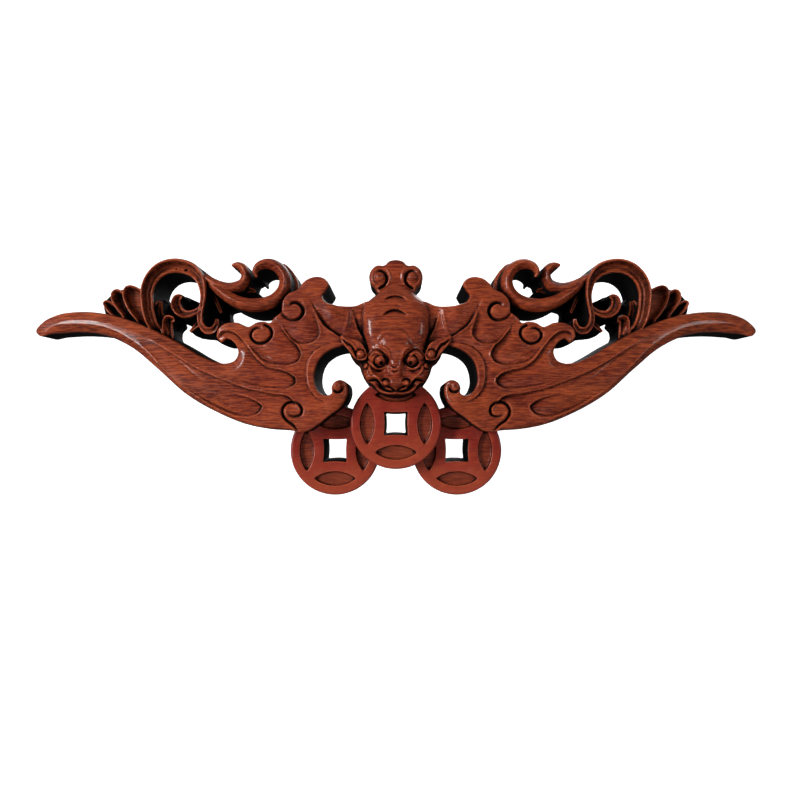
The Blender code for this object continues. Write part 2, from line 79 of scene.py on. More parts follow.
class Side(Enum):
    """Which side of a line a cut lowers, seen along the line's travel."""

    BOTH = 0
    LEFT = 1
    RIGHT = -1


def ease(low: float, high: float, value: np.ndarray) -> np.ndarray:
    """A smooth step from 0 at low to 1 at high, also where low is the larger one."""
    t = np.clip((value - low) / (high - low), 0, 1)
    return t * t * (3 - 2 * t)


def smooth_line(points: np.ndarray, step: float, closed: bool = False) -> np.ndarray:
    """Draws a curve through points.

    Args:
        points: Rows of x, z and any values that go along, such as a width.
        step: Distance between the rows that come back.
        closed: Whether the curve returns to its start.

    Returns:
        Rows like the points, a step apart.
    """
    knots = np.array(points, float)
    if closed:
        knots = np.vstack([knots[-1], knots, knots[:2]])
    else:
        knots = np.vstack([2 * knots[0] - knots[1], knots, 2 * knots[-1] - knots[-2]])
    gap = np.linalg.norm(np.diff(knots[:, :2], axis=0), axis=1)[:, None]
    chord = np.diff(knots, axis=0) / gap
    slope = (chord[:-1] * gap[1:] + chord[1:] * gap[:-1]) / (gap[:-1] + gap[1:])
    t = np.linspace(0, 1, 16, endpoint=False)[:, None]
    rows = []
    for i in range(1, len(knots) - 2):
        bend = t**2 * (3 - 2 * t)
        swing = t * (1 - t) * (slope[i - 1] * gap[i] * (1 - t) - slope[i] * gap[i] * t)
        rows.append(knots[i] * (1 - bend) + knots[i + 1] * bend + swing)
    rows.append(knots[None, 1 if closed else -2])
    dense = np.vstack(rows)
    gone = np.concatenate([[0], np.cumsum(np.linalg.norm(np.diff(dense[:, :2], axis=0), axis=1))])
    at = np.linspace(0, gone[-1], max(4, round(gone[-1] / step)) + 1)
    line = np.stack([np.interp(at, gone, column) for column in dense.T], axis=1)
    return line[:-1] if closed else line


def pattern(points: Sequence[Row]) -> np.ndarray:
    """Turns rows of x, z and a weight, 1 if none is given, from pattern units into metres."""
    rows = np.array([(*point, 1.0)[:3] for point in points], float)
    return rows * (UNIT, UNIT, 1)


def drawn(path: Sequence[Row]) -> np.ndarray:
    """The smooth line through a path in pattern units, as rows in metres."""
    return smooth_line(pattern(path), DRAWING_STEP)


def nearest(line: np.ndarray, x: np.ndarray, z: np.ndarray) -> tuple[np.ndarray, np.ndarray, np.ndarray]:
    """Finds the nearest place on a line for many points.

    Args:
        line: Rows of x, z and weight.
        x: The points' x.
        z: The points' z.

    Returns:
        Distance, the line's weight there, and 1 where the point is on the line's left or -1 on its right.
    """
    best, weight, turn = np.full(len(x), np.inf), np.zeros(len(x)), np.ones(len(x))
    for (ax, az, aw), (bx, bz, bw) in zip(line[:-1, :3], line[1:, :3]):
        dx, dz = bx - ax, bz - az
        t = np.clip(((x - ax) * dx + (z - az) * dz) / max(dx * dx + dz * dz, 1e-18), 0, 1)
        off_x, off_z = x - ax - t * dx, z - az - t * dz
        square = off_x**2 + off_z**2
        closer = square < best
        best = np.where(closer, square, best)
        weight = np.where(closer, aw + t * (bw - aw), weight)
        turn = np.where(closer, np.sign(dx * off_z - dz * off_x), turn)
    return np.sqrt(best), weight, turn


def inside(loop: np.ndarray, x: np.ndarray, z: np.ndarray) -> np.ndarray:
    """Tells which points are inside a closed line.

    Args:
        loop: The line's rows of x and z.
        x: The points' x.
        z: The points' z.

    Returns:
        True for each point inside.
    """
    within = np.zeros(len(x), bool)
    for (ax, az), (bx, bz) in zip(loop[:, :2], np.roll(loop[:, :2], -1, axis=0)):
        if az != bz:
            within ^= ((az > z) != (bz > z)) & (x < (bx - ax) * (z - az) / (bz - az) + ax)
    return within


def rounded_edge(d: np.ndarray, radius: float) -> np.ndarray:
    """How far a face drops at distance d from its outline, as a quarter round."""
    inset = np.clip(radius - d, 0, radius)
    return radius - np.sqrt(radius**2 - inset**2)


@dataclass(frozen=True)
class Stroke:
    """One pass of a gouge along a line. Depth and widths are in millimetres, and a negative depth raises."""

    path: tuple[Row, ...]
    depth: float
    width: float
    fade: float = 0.0
    side: Side = Side.BOTH

    def cut(self, x: np.ndarray, z: np.ndarray) -> np.ndarray:
        """Gives the depth that the stroke takes at each point.

        Args:
            x: The points' x in metres.
            z: The points' z in metres.

        Returns:
            Depth in metres, negative where it raises.
        """
        line = drawn(self.path)
        reach = max(self.width, self.fade) * MM
        low, high = line[:, :2].min(axis=0) - reach, line[:, :2].max(axis=0) + reach
        near = (x > low[0]) & (x < high[0]) & (z > low[1]) & (z < high[1])
        out = np.zeros(len(x))
        if not near.any():
            return out
        d, weight, turn = nearest(line, x[near], z[near])
        width, fade = self.width * MM, self.fade * MM
        if self.side is Side.BOTH:
            share = np.clip(1 - (d / width) ** 2, 0, 1) ** 1.5
        else:
            lowered = ease(0, width, d) * (1 - ease(width, fade, d))
            lowered += 0.4 * np.clip(1 - ((d - width) / width) ** 2, 0, 1)
            lip = -0.5 * np.clip(1 - d / (1.6 * width), 0, 1)
            share = np.where(turn == self.side.value, lowered, lip)
        out[near] = self.depth * MM * weight * share
        return out


@dataclass(frozen=True)
class Boss:
    """A low oval mound, or a pit of negative height. Radii are in pattern units, height in millimetres."""

    x: float
    z: float
    long: float
    height: float
    short: float = 0.0
    tilt: float = 0.0

    def cut(self, x: np.ndarray, z: np.ndarray) -> np.ndarray:
        """Gives minus the mound's height at each point.

        Args:
            x: The points' x in metres.
            z: The points' z in metres.

        Returns:
            Depth in metres, negative on a mound.
        """
        turn = math.radians(self.tilt)
        dx, dz = x / UNIT - self.x, z / UNIT - self.z
        along = (dx * math.cos(turn) + dz * math.sin(turn)) / self.long
        across = (dz * math.cos(turn) - dx * math.sin(turn)) / (self.short or self.long)
        return -self.height * MM * np.sqrt(np.clip(1 - along**2 - across**2, 0, 1))

    def moat(self, depth: float, width: float, spread: float = 1.2) -> Stroke:
        """Makes the groove round the mound's foot.

        Args:
            depth: The groove's depth in millimetres.
            width: The groove's half width in millimetres.
            spread: The groove's size as a share of the mound's.

        Returns:
            The stroke that cuts it.
        """
        turn = math.radians(self.tilt)
        angles = np.linspace(0, 2 * math.pi, 17)
        long = self.long * spread * np.cos(angles)
        short = (self.short or self.long) * spread * np.sin(angles)
        x = self.x + long * math.cos(turn) - short * math.sin(turn)
        z = self.z + long * math.sin(turn) + short * math.cos(turn)
        return Stroke(tuple(zip(x.tolist(), z.tolist())), depth, width)


def carve(height: np.ndarray, tools: Sequence[Stroke | Boss], x: np.ndarray, z: np.ndarray) -> np.ndarray:
    """Takes what the tools cut off a face.

    Args:
        height: Heights over the back in metres.
        tools: Strokes and bosses.
        x: The points' x in metres.
        z: The points' z in metres.

    Returns:
        The heights that are left.
    """
    for tool in tools:
        height = height - tool.cut(x, z)
    return height


@dataclass
class Shape:
    """A closed form as points and faces, before it is fused with the others."""

    points: np.ndarray
    faces: list[tuple[int, ...]]

    def mirrored(self) -> "Shape":
        """The same form on the other side of the middle plane."""
        return Shape(self.points * (-1, 1, 1), [face[::-1] for face in self.faces])


def plate(outline: Sequence[Row], face: Face, step: float = DRAWING_STEP) -> Shape:
    """Makes a plate with a smooth outline and a carved face.

    Args:
        outline: Closed outline in pattern units.
        face: Height over the back for arrays of x, z and distance to the outline, in metres.
        step: Distance between the points.

    Returns:
        The plate, which reaches behind the back plane.
    """
    loop = smooth_line(np.array(outline, float) * UNIT, step, closed=True)
    low, high = loop.min(axis=0), loop.max(axis=0)
    x, z = np.meshgrid(np.arange(low[0], high[0], step), np.arange(low[1], high[1], step))
    x, z = x.ravel(), z.ravel()
    kept = inside(loop, x, z)
    x, z = x[kept], z[kept]
    ring = np.column_stack([np.vstack([loop, loop[:1]]), np.zeros(len(loop) + 1)])
    clear = nearest(ring, x, z)[0] > step / 2
    flat = np.vstack([loop, np.stack([x[clear], z[clear]], axis=1)])
    bounds = [(i, (i + 1) % len(loop)) for i in range(len(loop))]
    points, _, faces, *_ = delaunay_2d_cdt([tuple(p) for p in flat], bounds, [], 2, 1e-8)
    points = np.array([tuple(p) for p in points])
    height = face(points[:, 0], points[:, 1], nearest(ring, points[:, 0], points[:, 1])[0])
    count = len(points)
    front = np.stack([points[:, 0], -height, points[:, 1]], axis=1)
    back = np.stack([points[:, 0], np.full(count, WASTE), points[:, 1]], axis=1)
    used: dict[tuple[int, int], int] = {}
    for corner in faces:
        for a, b in zip(corner, corner[1:] + corner[:1]):
            used[(a, b)] = used.get((a, b), 0) + 1
    walls = [(b, a, a + count, b + count) for a, b in used if (b, a) not in used]
    rear = [tuple(i + count for i in reversed(corner)) for corner in faces]
    return Shape(np.vstack([front, back]), [tuple(corner) for corner in faces] + rear + walls)


def level(height: float, radius: float) -> Face:
    """A level face with a rounded edge, both in metres."""
    return lambda x, z, d: height - rounded_edge(d, radius)


def both_sides(points: Sequence[Row]) -> list[Row]:
    """A closed outline from its left side, given from the top down."""
    return [*points, *[(-x, z) for x, z in reversed(points)]]


def mesh_object(name: str, shapes: list[Shape]) -> bpy.types.Object:
    """Puts shapes in one new object.

    Args:
        name: The object's name.
        shapes: Closed forms, which may overlap.

    Returns:
        The object, linked to the scene.
    """
    points, faces, base = [], [], 0
    for shape in shapes:
        points.append(shape.points)
        faces += [tuple(i + base for i in face) for face in shape.faces]
        base += len(shape.points)
    mesh = bpy.data.meshes.new(name)
    mesh.from_pydata(np.vstack(points).tolist(), [], faces)
    mesh.validate()
    piece = bpy.data.objects.new(name, mesh)
    bpy.context.scene.collection.objects.link(piece)
    return piece


def select_only(*pieces: bpy.types.Object) -> None:
    """Selects some objects alone.

    Args:
        pieces: The objects, of which the first one becomes active.
    """
    bpy.ops.object.select_all(action="DESELECT")
    for piece in pieces:
        piece.select_set(True)
    bpy.context.view_layer.objects.active = pieces[0]


def apply_modifier(piece: bpy.types.Object, kind: str, **settings: object) -> None:
    """Adds a modifier and applies it.

    Args:
        piece: The object that gets it.
        kind: The modifier's type.
        settings: The modifier's settings.
    """
    select_only(piece)
    modifier = piece.modifiers.new(kind.lower(), kind)
    for name, value in settings.items():
        setattr(modifier, name, value)
    bpy.ops.object.modifier_apply(modifier=modifier.name)


def edit_all(piece: bpy.types.Object) -> None:
    """Opens an object alone in edit mode with all of it selected.

    Args:
        piece: The object.
    """
    select_only(piece)
    bpy.ops.object.mode_set(mode="EDIT")
    bpy.ops.mesh.select_all(action="SELECT")


def pick_edges(piece: bpy.types.Object, wanted: Callable[[Vector], bool]) -> None:
    """Selects edges by place, in edit mode.

    Args:
        piece: The object in edit mode.
        wanted: Tells whether an end of an edge is where it should be.
    """
    bpy.ops.mesh.select_mode(type="EDGE")
    bpy.ops.mesh.select_all(action="DESELECT")
    for edge in bmesh.from_edit_mesh(piece.data).edges:
        edge.select_set(all(wanted(vert.co) for vert in edge.verts))
    bmesh.update_edit_mesh(piece.data)


def read(
    items: bpy.types.bpy_prop_collection, name: str, width: int = 3, kind: type = np.float32
) -> np.ndarray:
    """Reads a value of a mesh's points, edges, corners or faces.

    Args:
        items: The mesh's points, edges, corners or faces.
        name: The value's name.
        width: How many numbers it has.
        kind: The numbers' type.

    Returns:
        One row for each item.
    """
    values = np.empty(len(items) * width, kind)
    items.foreach_get(name, values)
    return values.reshape(-1, width)


def away_from(co: np.ndarray, x: float, z: float) -> np.ndarray:
    """How far points are from x, z, all in metres and seen from the front."""
    return np.hypot(co[:, 0] - x, co[:, 2] - z)


@dataclass(frozen=True)
class Wing:
    """One wing with its shoulder, carved from one outline. Heights and widths are in millimetres."""

    tip_height: float = 16.0
    shoulder_height: float = 40.0
    rise_power: float = 0.8
    valley_depth: float = 5.0
    valley_from: float = 34.0
    valley_to: float = 18.0
    tip_relief: float = 0.3
    band_drop: float = 2.3
    band_width: float = 5.2
    edge_drop: float = 1.6
    foot_widths: tuple[Row, ...] = ((0, 1.7), (73, 1.7), (125, 3.0), (150, 4.2), (204, 4.6))
    foot_slope: float = 0.62
    top: tuple[Row, ...] = (
        (-202, -3.5), (-198, 1.5), (-189, 6), (-173, 7.5), (-154, 4.5), (-135.5, -2), (-119.5, -10),
        (-104, -18.8), (-97, -21.5), (-91, -22), (-86.8, -20.3), (-85, -16.5),
    )
    beak: tuple[Row, ...] = (
        (-86.5, -11.5), (-90.5, -9.3), (-93.5, -11), (-96.2, -8.5), (-95.6, -4), (-91, -0.8), (-85, -0.5),
        (-78.5, -2.8),
    )
    shoulder: tuple[Row, ...] = (
        (-74.5, -0.7), (-70, -0.3), (-67, -1), (-65, 1.5), (-61, 5), (-60.3, 10), (-57, 14.3), (-51.5, 17),
        (-49.5, 19.7), (-46, 22.2), (-42, 23), (-38, 22.2), (-35.2, 18.8), (-36.8, 15.5), (-38.8, 12.8),
        (-37.5, 10), (-33, 8.2), (-22, 8), (-14, 10.5),
    )
    middle: tuple[Row, ...] = ((-8, 2), (-8, -12), (-19, -14.8))
    opening: tuple[Row, ...] = (
        (-28, -14), (-35, -16.2), (-40, -20.3), (-42.8, -27.5), (-42.8, -33), (-40.3, -38), (-37, -39.7),
        (-33.8, -38.5),
    )
    hook: tuple[Row, ...] = (
        (-34, -35.5), (-32.4, -32.7), (-29.6, -31.5), (-26.6, -32.6), (-25.4, -37), (-26.6, -42),
        (-30, -46.8), (-35, -50.5), (-41, -55.2), (-48, -59),
    )
    foot: tuple[Row, ...] = (
        (-56, -58.3), (-67, -57.5), (-80, -55), (-95.5, -49), (-113.5, -39), (-130, -25), (-145.5, -12.8),
        (-160.5, -6), (-177, -4), (-192, -4.6), (-200.5, -5.2),
    )
    # The sunk fields between the finger bones, each as its bank, which fades out towards the tip; then the
    # grooves and ridges of curls, veins, blade and rim; last the raised centres of the curls.
    tools: tuple[Stroke | Boss, ...] = (
        Stroke(((-109, -38.5, 0.3), (-101.5, -43, 0.8), (-92.5, -47.5), (-84, -50.5), (-76.5, -50.5, 1.2),
            (-72, -48, 1.4), (-71, -45, 1.4), (-73.5, -43, 1.2), (-79, -40.5, 0.8), (-86, -38.5, 0.3),
            (-92.5, -35.5, 0)), 1.4, 0.7, 8, Side.LEFT),
        Stroke(((-131.5, -10.5, 0.2), (-123.5, -15, 0.6), (-115.5, -20, 0.8), (-104.5, -26, 0.8),
            (-96.5, -29.5, 0.7), (-87, -33, 0.7), (-78.5, -36, 0.8), (-71, -37.5), (-64, -39, 1.1),
            (-58.5, -39.5, 1.3), (-55.5, -41, 1.3), (-54, -43, 0.9)), 1.4, 0.7, 9, Side.RIGHT),
        Stroke(((-81, -12, 0), (-77.5, -15.5, 0.6), (-74, -20), (-70.5, -23), (-66.5, -25), (-61.5, -26, 1.2),
            (-56, -28, 1.4), (-53, -30.5, 1.6), (-53, -33.5, 1.5), (-56, -35.5, 1.2), (-64, -36),
            (-73, -35, 0.8), (-81, -33, 0.4), (-87.5, -30.5, 0)), 1.4, 0.7, 8, Side.RIGHT),
        Stroke(((-60.5, -3.5, 0.6), (-58, -7, 1.2), (-55, -10.5, 1.4), (-51.5, -14, 1.5), (-50, -18, 1.6),
            (-51.5, -21.5, 1.5), (-56, -23.5, 1.2), (-62.5, -23.5), (-69.5, -22), (-74.5, -18, 0.7),
            (-78.5, -13.5, 0.3)), 1.4, 0.7, 8, Side.RIGHT),
        Stroke(((-42.5, 4.5, 0.5), (-42, 1), (-40.5, -3.5, 1.3), (-40, -7.5, 1.3), (-42.5, -11, 1.2),
            (-46.5, -12.5), (-51.5, -12.5), (-55.5, -10), (-59, -5.5, 0.6)), 1.3, 0.7, 7, Side.RIGHT),
        Stroke(((-43, 5.5, 0.8), (-41, 1.5, 1.2), (-38, -3, 1.5), (-33.5, -6.5, 1.6), (-29.5, -9, 1.4),
            (-27.5, -9.5, 0.6)), 1.5, 0.7, 8, Side.LEFT),
        Stroke(((-23, 4.5, 0.5), (-21.5, -1), (-19.5, -6, 1.1), (-17.8, -9, 0.8)), 1.1, 0.6, 5, Side.LEFT),
        Stroke(((-95, -8, 0.5), (-93.5, -5.5, 0.9), (-90, -4.8), (-86, -6), (-82.5, -9), (-79, -13, 0.7),
            (-75.5, -17, 0.2)), 1.4, 0.7, 5, Side.RIGHT),
        Stroke(((-29, -12.3, 0.5), (-37, -13.6), (-42.8, -16.8), (-46.2, -22.5), (-46.8, -29), (-45.8, -35),
            (-42.3, -40, 0.9), (-38, -42.6, 0.5)), 1.0, 0.6, 5, Side.RIGHT),
        Stroke(((-61, 4.6, 0.6), (-59.4, 2.3, 0.8), (-57.3, 0.8, 0.8), (-54.7, 0.1, 0.9), (-51.8, 0.6, 1.2),
            (-49.9, 2.3, 1.5), (-49, 4.8, 1.7), (-49.7, 7, 1.7), (-51.4, 8.7, 1.4), (-53.6, 9.4, 1.1),
            (-55.4, 8.9, 0.8), (-56.2, 7.8, 0.3)), 2.2, 1.15),
        Stroke(((-69.5, -2.3), (-66.9, -3.9, 1.2), (-66, -7, 1.3), (-67.8, -10.2, 1.2), (-71.8, -12, 1.1),
            (-75.6, -10.8), (-77.5, -7.6), (-76.3, -4.9, 0.9), (-73.9, -3.8, 0.7),
            (-72, -4.2, 0.3)), 2.4, 1.05),
        Stroke(((-52.2, -57.8, 0.6), (-54.9, -55, 0.9), (-57.6, -53.2), (-59.7, -50.6, 1.1),
            (-60.3, -47.4, 1.1), (-59, -44.8, 1.1), (-56.4, -43.3), (-53.3, -43.5), (-50.7, -45, 1.1),
            (-49.7, -47.6, 1.1), (-50.5, -49.9, 0.9), (-52.8, -50.8, 0.8), (-55.2, -50.5, 0.6),
            (-56.5, -49.5, 0.3)), 2.4, 1.0),
        Stroke(((-71, -5, 0.4), (-74, -5), (-75.9, -7.8), (-74.6, -10.2), (-72, -11, 0.5)), -0.5, 0.7),
        Stroke(((-56.4, -45.2, 0.4), (-58.5, -47.5), (-57.6, -50.5), (-55.4, -52, 0.5)), -0.5, 0.7),
        Stroke(((-28.6, -35.2, 0.6), (-28.4, -36.6), (-29.5, -37.8), (-31.3, -38),
            (-33, -37.2, 0.8)), 2.6, 0.9),
        Stroke(((-76, -14, 0), (-72.5, -17), (-69, -18.5), (-65.5, -19.5, 0)), 0.7, 1.4),
        Stroke(((-59, -5.5, 0), (-55, -4.3), (-50.5, -5), (-45.5, -7.2, 0)), 0.5, 0.7),
        Stroke(((-25, 5, 0.4), (-25.5, 0), (-27, -5.5, 0.4)), -0.9, 1.1),
        Stroke(((-139.5, -11, 0.4), (-133, -17), (-127.5, -23.5), (-123, -28.5, 0.8),
            (-116.5, -34.5, 0.2)), -0.5, 1.2),
        Stroke(((-107.5, -40.5, 0.3), (-100, -45), (-91, -49.5), (-82, -52.6, 0.6)), -0.5, 1.4),
        Stroke(((-129, -13.5, 0), (-122.5, -17.5), (-115.5, -22.5), (-107.5, -29, 0.8),
            (-101, -33.5, 0)), 0.45, 0.7),
        Stroke(((-100.5, -33.2, 0), (-96.5, -35.6), (-92, -37.2, 0)), 0.45, 0.7),
        Stroke(((-17.2, 8.6, 0.5), (-17.9, 2), (-17.8, -5), (-16.6, -10.5, 0.6)), 0.9, 0.7),
        Stroke(((-49, 14, 0.2), (-45, 12, 0.8), (-41, 11.6, 0.3)), 0.4, 2.5),
        Boss(-71.8, -7.9, 4.0, 0.3),
        Boss(-55, -47.1, 3.8, 0.3),
        Boss(-30.6, -34.9, 2.6, 1.3),
    )

    def face(self, x: np.ndarray, z: np.ndarray, d: np.ndarray) -> np.ndarray:
        """Gives the carved height over the back.

        Args:
            x: The points' x in metres.
            z: The points' z in metres.
            d: Their distance to the outline in metres.

        Returns:
            Heights in metres.
        """
        inward = np.clip(1 - np.abs(x) / (SPAN / 2), 0, 1)
        height = (self.tip_height + (self.shoulder_height - self.tip_height) * inward**self.rise_power) * MM
        height -= self.valley_depth * MM * ease(self.valley_from * MM, self.valley_to * MM, np.abs(x))
        to_top = nearest(drawn(self.top), x, z)[0]
        whole = self.tip_relief + (1 - self.tip_relief) * ease(0, 0.12, inward)
        height -= whole * self.band_drop * MM * np.clip(1 - to_top / (self.band_width * MM), 0, 1)
        to_foot = nearest(drawn(self.foot), x, z)[0]
        places, widths = np.array(self.foot_widths).T
        rim = np.interp(np.abs(x), places * UNIT, widths * MM)
        height -= whole * self.foot_slope * rim * np.clip(1 - to_foot / rim, 0, 1)
        height -= rounded_edge(d, 1.0 * MM) * self.edge_drop * whole
        return carve(height, self.tools, x, z)

    def build(self) -> list[Shape]:
        """Carves the wing and mirrors it.

        Returns:
            The left wing and the right one.
        """
        sides = self.top + self.beak + self.shoulder + self.middle + self.opening + self.hook + self.foot
        wing = plate(sides, self.face)
        return [wing, wing.mirrored()]


@dataclass(frozen=True)
class Foliage:
    """The pierced scrollwork over one shoulder, of ribbons on low ground. Heights are in millimetres."""

    ring_height: float = 28.0
    scroll_height: float = 32.0
    leaf_height: float = 21.0
    fan_height: float = 18.0
    ground_height: float = 9.0
    backing_height: float = 18.0
    full_relief: float = 3.0
    beaded: tuple[Row, ...] = (
        (-1, 5.0), (-0.94, 4.2), (-0.82, 3.9), (-0.6, 4.1), (-0.34, 4.8), (-0.12, 5.0), (0.06, 4.5),
        (0.22, 3.4), (0.38, 1.9), (0.52, 0.6), (0.64, 0.05), (0.76, 0.1), (0.88, 0.7), (1, 1.9),
    )
    roofed: tuple[Row, ...] = (
        (-1, 3.9), (-0.88, 2.9), (-0.66, 2.1), (-0.42, 1.35), (-0.22, 0.55), (-0.08, 0.1), (0.04, 0),
        (0.18, 0.2), (0.38, 0.75), (0.6, 1.5), (0.8, 2.5), (0.92, 3.4), (1, 4.6),
    )
    ring: tuple[Row, ...] = (
        (-132.2, -3.5, 2.4, 4.5), (-133, -0.5, 2.6, 1.5), (-134.4, 5, 2.7), (-135.3, 11, 2.8),
        (-135.4, 18, 2.9), (-132.7, 24.7, 3.0), (-128, 29.2, 3.3), (-122.5, 31.2, 3.5), (-116.5, 31, 3.6),
        (-110.7, 28.8, 3.5), (-106.8, 24.5, 3.0), (-105.1, 19.5, 2.4), (-104.6, 15, 1.9), (-105.3, 9, 1.7),
        (-106.3, 4, 1.8), (-105.6, -1, 1.9), (-103, -4, 1.9), (-99.5, -4, 1.6), (-97.3, -1.5, 1.2),
        (-96.5, 2, 0.7),
    )
    scroll: tuple[Row, ...] = (
        (-105.6, 27, 0.7, 7.5), (-102.2, 23, 1.8, 6), (-97.3, 18.6, 2.5, 3.5), (-91.5, 14.3, 3.1, 1.5),
        (-85, 10.8, 3.5, 0.4), (-78, 9.0, 3.8, 0), (-71, 9.6, 3.8, 0), (-64.6, 12.4, 3.7, 0),
        (-60.6, 17, 3.6, 0), (-59.5, 22.6, 3.4, 0), (-61.8, 27.8, 3.2, 0), (-65.8, 30.8, 3.0, 0),
        (-70.4, 31.3, 2.8, 0), (-74.2, 29.4, 2.2, 0), (-75.6, 26.6, 1.5, 0.5), (-74.6, 23.9, 0.6, 1.5),
    )
    leaf: tuple[Row, ...] = (
        (-108, 28, 0.8, 3), (-104.6, 25.6, 1.6, 1.5), (-100.5, 22.8, 2.2, 0.5), (-96, 20.4, 2.7, 0),
        (-91.5, 19.2, 3.1, 0), (-86.6, 19.5, 3.5, 0), (-83, 22, 3.0, 0), (-81.6, 25.8, 2.7, 0),
        (-83, 29.6, 2.5, 0), (-86, 31.4, 1.9, 0.3), (-89, 31.2, 0.8, 1),
    )
    small_curl: tuple[Row, ...] = (
        (-104.5, 12.5, 1.3), (-106.5, 8.5, 1.6), (-110.5, 5.8, 2.0), (-115, 5, 2.3), (-118.7, 7, 2.5),
        (-120.3, 10.7, 2.3), (-119.2, 13.9, 1.7), (-116.7, 14.8, 1.0),
    )
    fans: tuple[tuple[Row, ...], ...] = (
        ((-141.4, -3), (-144.5, 2.5), (-147.8, 6.5), (-150.9, 12.1), (-152.2, 16.3), (-152, 19.6),
         (-150.5, 21.7), (-148.6, 22.4), (-145.7, 21.9), (-142.2, 20.1), (-138, 17), (-134, 5), (-134, -6)),
        ((-148.7, -0.5), (-154, 6.5), (-157.5, 11), (-159.5, 15.2), (-159.2, 18.5), (-157.9, 20.1),
         (-156, 20.6), (-153.7, 19.7), (-151.6, 17.5), (-150.2, 12.5), (-147.2, 7), (-143, 1)),
        ((-155, 3.5), (-161.7, 7.6), (-163.9, 10.6), (-164.7, 13.2), (-163, 14.7), (-160.7, 14), (-158.8, 13),
         (-157, 11.2), (-153.6, 7), (-149, 1.5)),
    )
    fan_scoop: float = 4.6
    fan_step: float = 1.5
    inner_leaves: tuple[tuple[Row, ...], ...] = (
        ((-127, -6, 1.6), (-130, 2, 2.0), (-131.5, 8, 2.0), (-130.5, 13, 1.2)),
        ((-124.5, -10, 1.8), (-126.8, -2, 2.6), (-126, 3, 2.4), (-122.5, 3, 1.2)),
        ((-106.5, 4, 1.8), (-110, 0, 1.8), (-114, -4, 0.7)),
        ((-101, 17, 1.0), (-98.5, 11, 1.2), (-96.5, 6.5, 0.8)),
        ((-88, 17.2, 0.8), (-83.5, 17.8, 1.1), (-80, 19, 1.1), (-77.5, 18.2, 0.6)),
    )
    grounds: tuple[tuple[Row, ...], ...] = (
        ((-112, 28), (-105, 23.5), (-94, 15.5), (-90.5, 10.5), (-95, 8.5), (-94.8, 4.5), (-93, -6.5),
         (-97, -8), (-103, -6.5), (-110, -5.8), (-114.5, -4.8), (-117, -2), (-113.5, 1.5), (-110, 6),
         (-109.5, 16)),
        ((-124.5, 15), (-123, 17.5), (-119.5, 17.5), (-116, 16), (-112, 14), (-107, 8), (-112, 2), (-120, 2),
         (-125, 8)),
        ((-92, 22.5), (-87, 28), (-80.5, 32.5), (-73, 31.5), (-68, 30), (-72, 28.5), (-77, 25), (-81, 22.5),
         (-81.5, 19), (-79.5, 13), (-86, 14), (-95, 18)),
        ((-139.5, 17), (-133.5, 17), (-130.5, 14.5), (-128, 12), (-124, 5), (-122, 1), (-124.5, -2),
         (-125, -5), (-125, -13), (-131, -9), (-140, -2)),
        ((-69, 10), (-61, 20), (-54, 19), (-46, 17), (-50, 8), (-60, 2), (-64, 3)),
        ((-167, 13), (-161, 20), (-150, 22.5), (-141, 20), (-137, 8), (-134, -6), (-150, -1), (-164, 4)),
        ((-104, -5.5), (-100, -9), (-96, -10.8), (-92, -11), (-87, -10), (-87, -4), (-99, -3)),
    )
    backing: tuple[Row, ...] = (
        (-67, 34), (-62.3, 34.3), (-58.8, 31.6), (-56, 27.8), (-54.2, 23), (-54.8, 17), (-60, 14), (-60, 22),
        (-62, 28),
    )

    def ribbon(self, path: tuple[Row, ...], height: float, foot: float = 1.0, roof: bool = False) -> Shape:
        """Sweeps a section along a path.

        Args:
            path: Centre line with half widths in pattern units, and how deep it is sunk in millimetres.
            height: The crest's height over the back in millimetres.
            foot: How much of the inner half the back keeps.
            roof: Whether it has a ridge in the middle, with the path's left side inside, not an outer bead.

        Returns:
            The ribbon as a closed form.
        """
        rows = np.array([(*row, 0.0)[:4] for row in path], float)
        line = smooth_line(rows * (UNIT, UNIT, UNIT, MM), DRAWING_STEP)
        along = np.gradient(line[:, :2], axis=0)
        along /= np.linalg.norm(along, axis=1)[:, None]
        outward = np.stack([-along[:, 1], along[:, 0]], axis=1) * (-1 if roof else 1)
        across, depth = np.array(self.roofed if roof else self.beaded).T
        relief = np.clip(line[:, 2] / (self.full_relief * MM), 0, 1)
        u = np.concatenate([across, [1, -foot]])
        x = line[:, :1] + outward[:, :1] * line[:, 2:3] * u
        z = line[:, 1:2] + outward[:, 1:] * line[:, 2:3] * u
        top = line[:, 3:] - height * MM + depth * MM * relief[:, None]
        y = np.concatenate([top, np.full((len(line), 2), WASTE)], axis=1)
        size, last = len(u), (len(line) - 1) * len(u)
        faces = [tuple(range(size)), tuple(range(last + size - 1, last - 1, -1))]
        for a in range(0, last, size):
            b = a + size
            faces += [(a + j, a + (j + 1) % size, b + (j + 1) % size, b + j) for j in range(size)]
        return Shape(np.stack([x, y, z], axis=2).reshape(-1, 3), faces)

    def fan(self, number: int) -> Shape:
        """Carves one lobe of the shell next to the ring, scooped out behind a thin rim.

        Args:
            number: Its number from the ring outwards.

        Returns:
            The lobe as a closed form.
        """
        height = (self.fan_height - self.fan_step * number) * MM

        def scooped(x: np.ndarray, z: np.ndarray, d: np.ndarray) -> np.ndarray:
            """A level rim round a hollow."""
            return height - rounded_edge(d, 0.5 * MM) - self.fan_scoop * MM * ease(0.4 * MM, 2.8 * MM, d)

        return plate(self.fans[number], scooped)

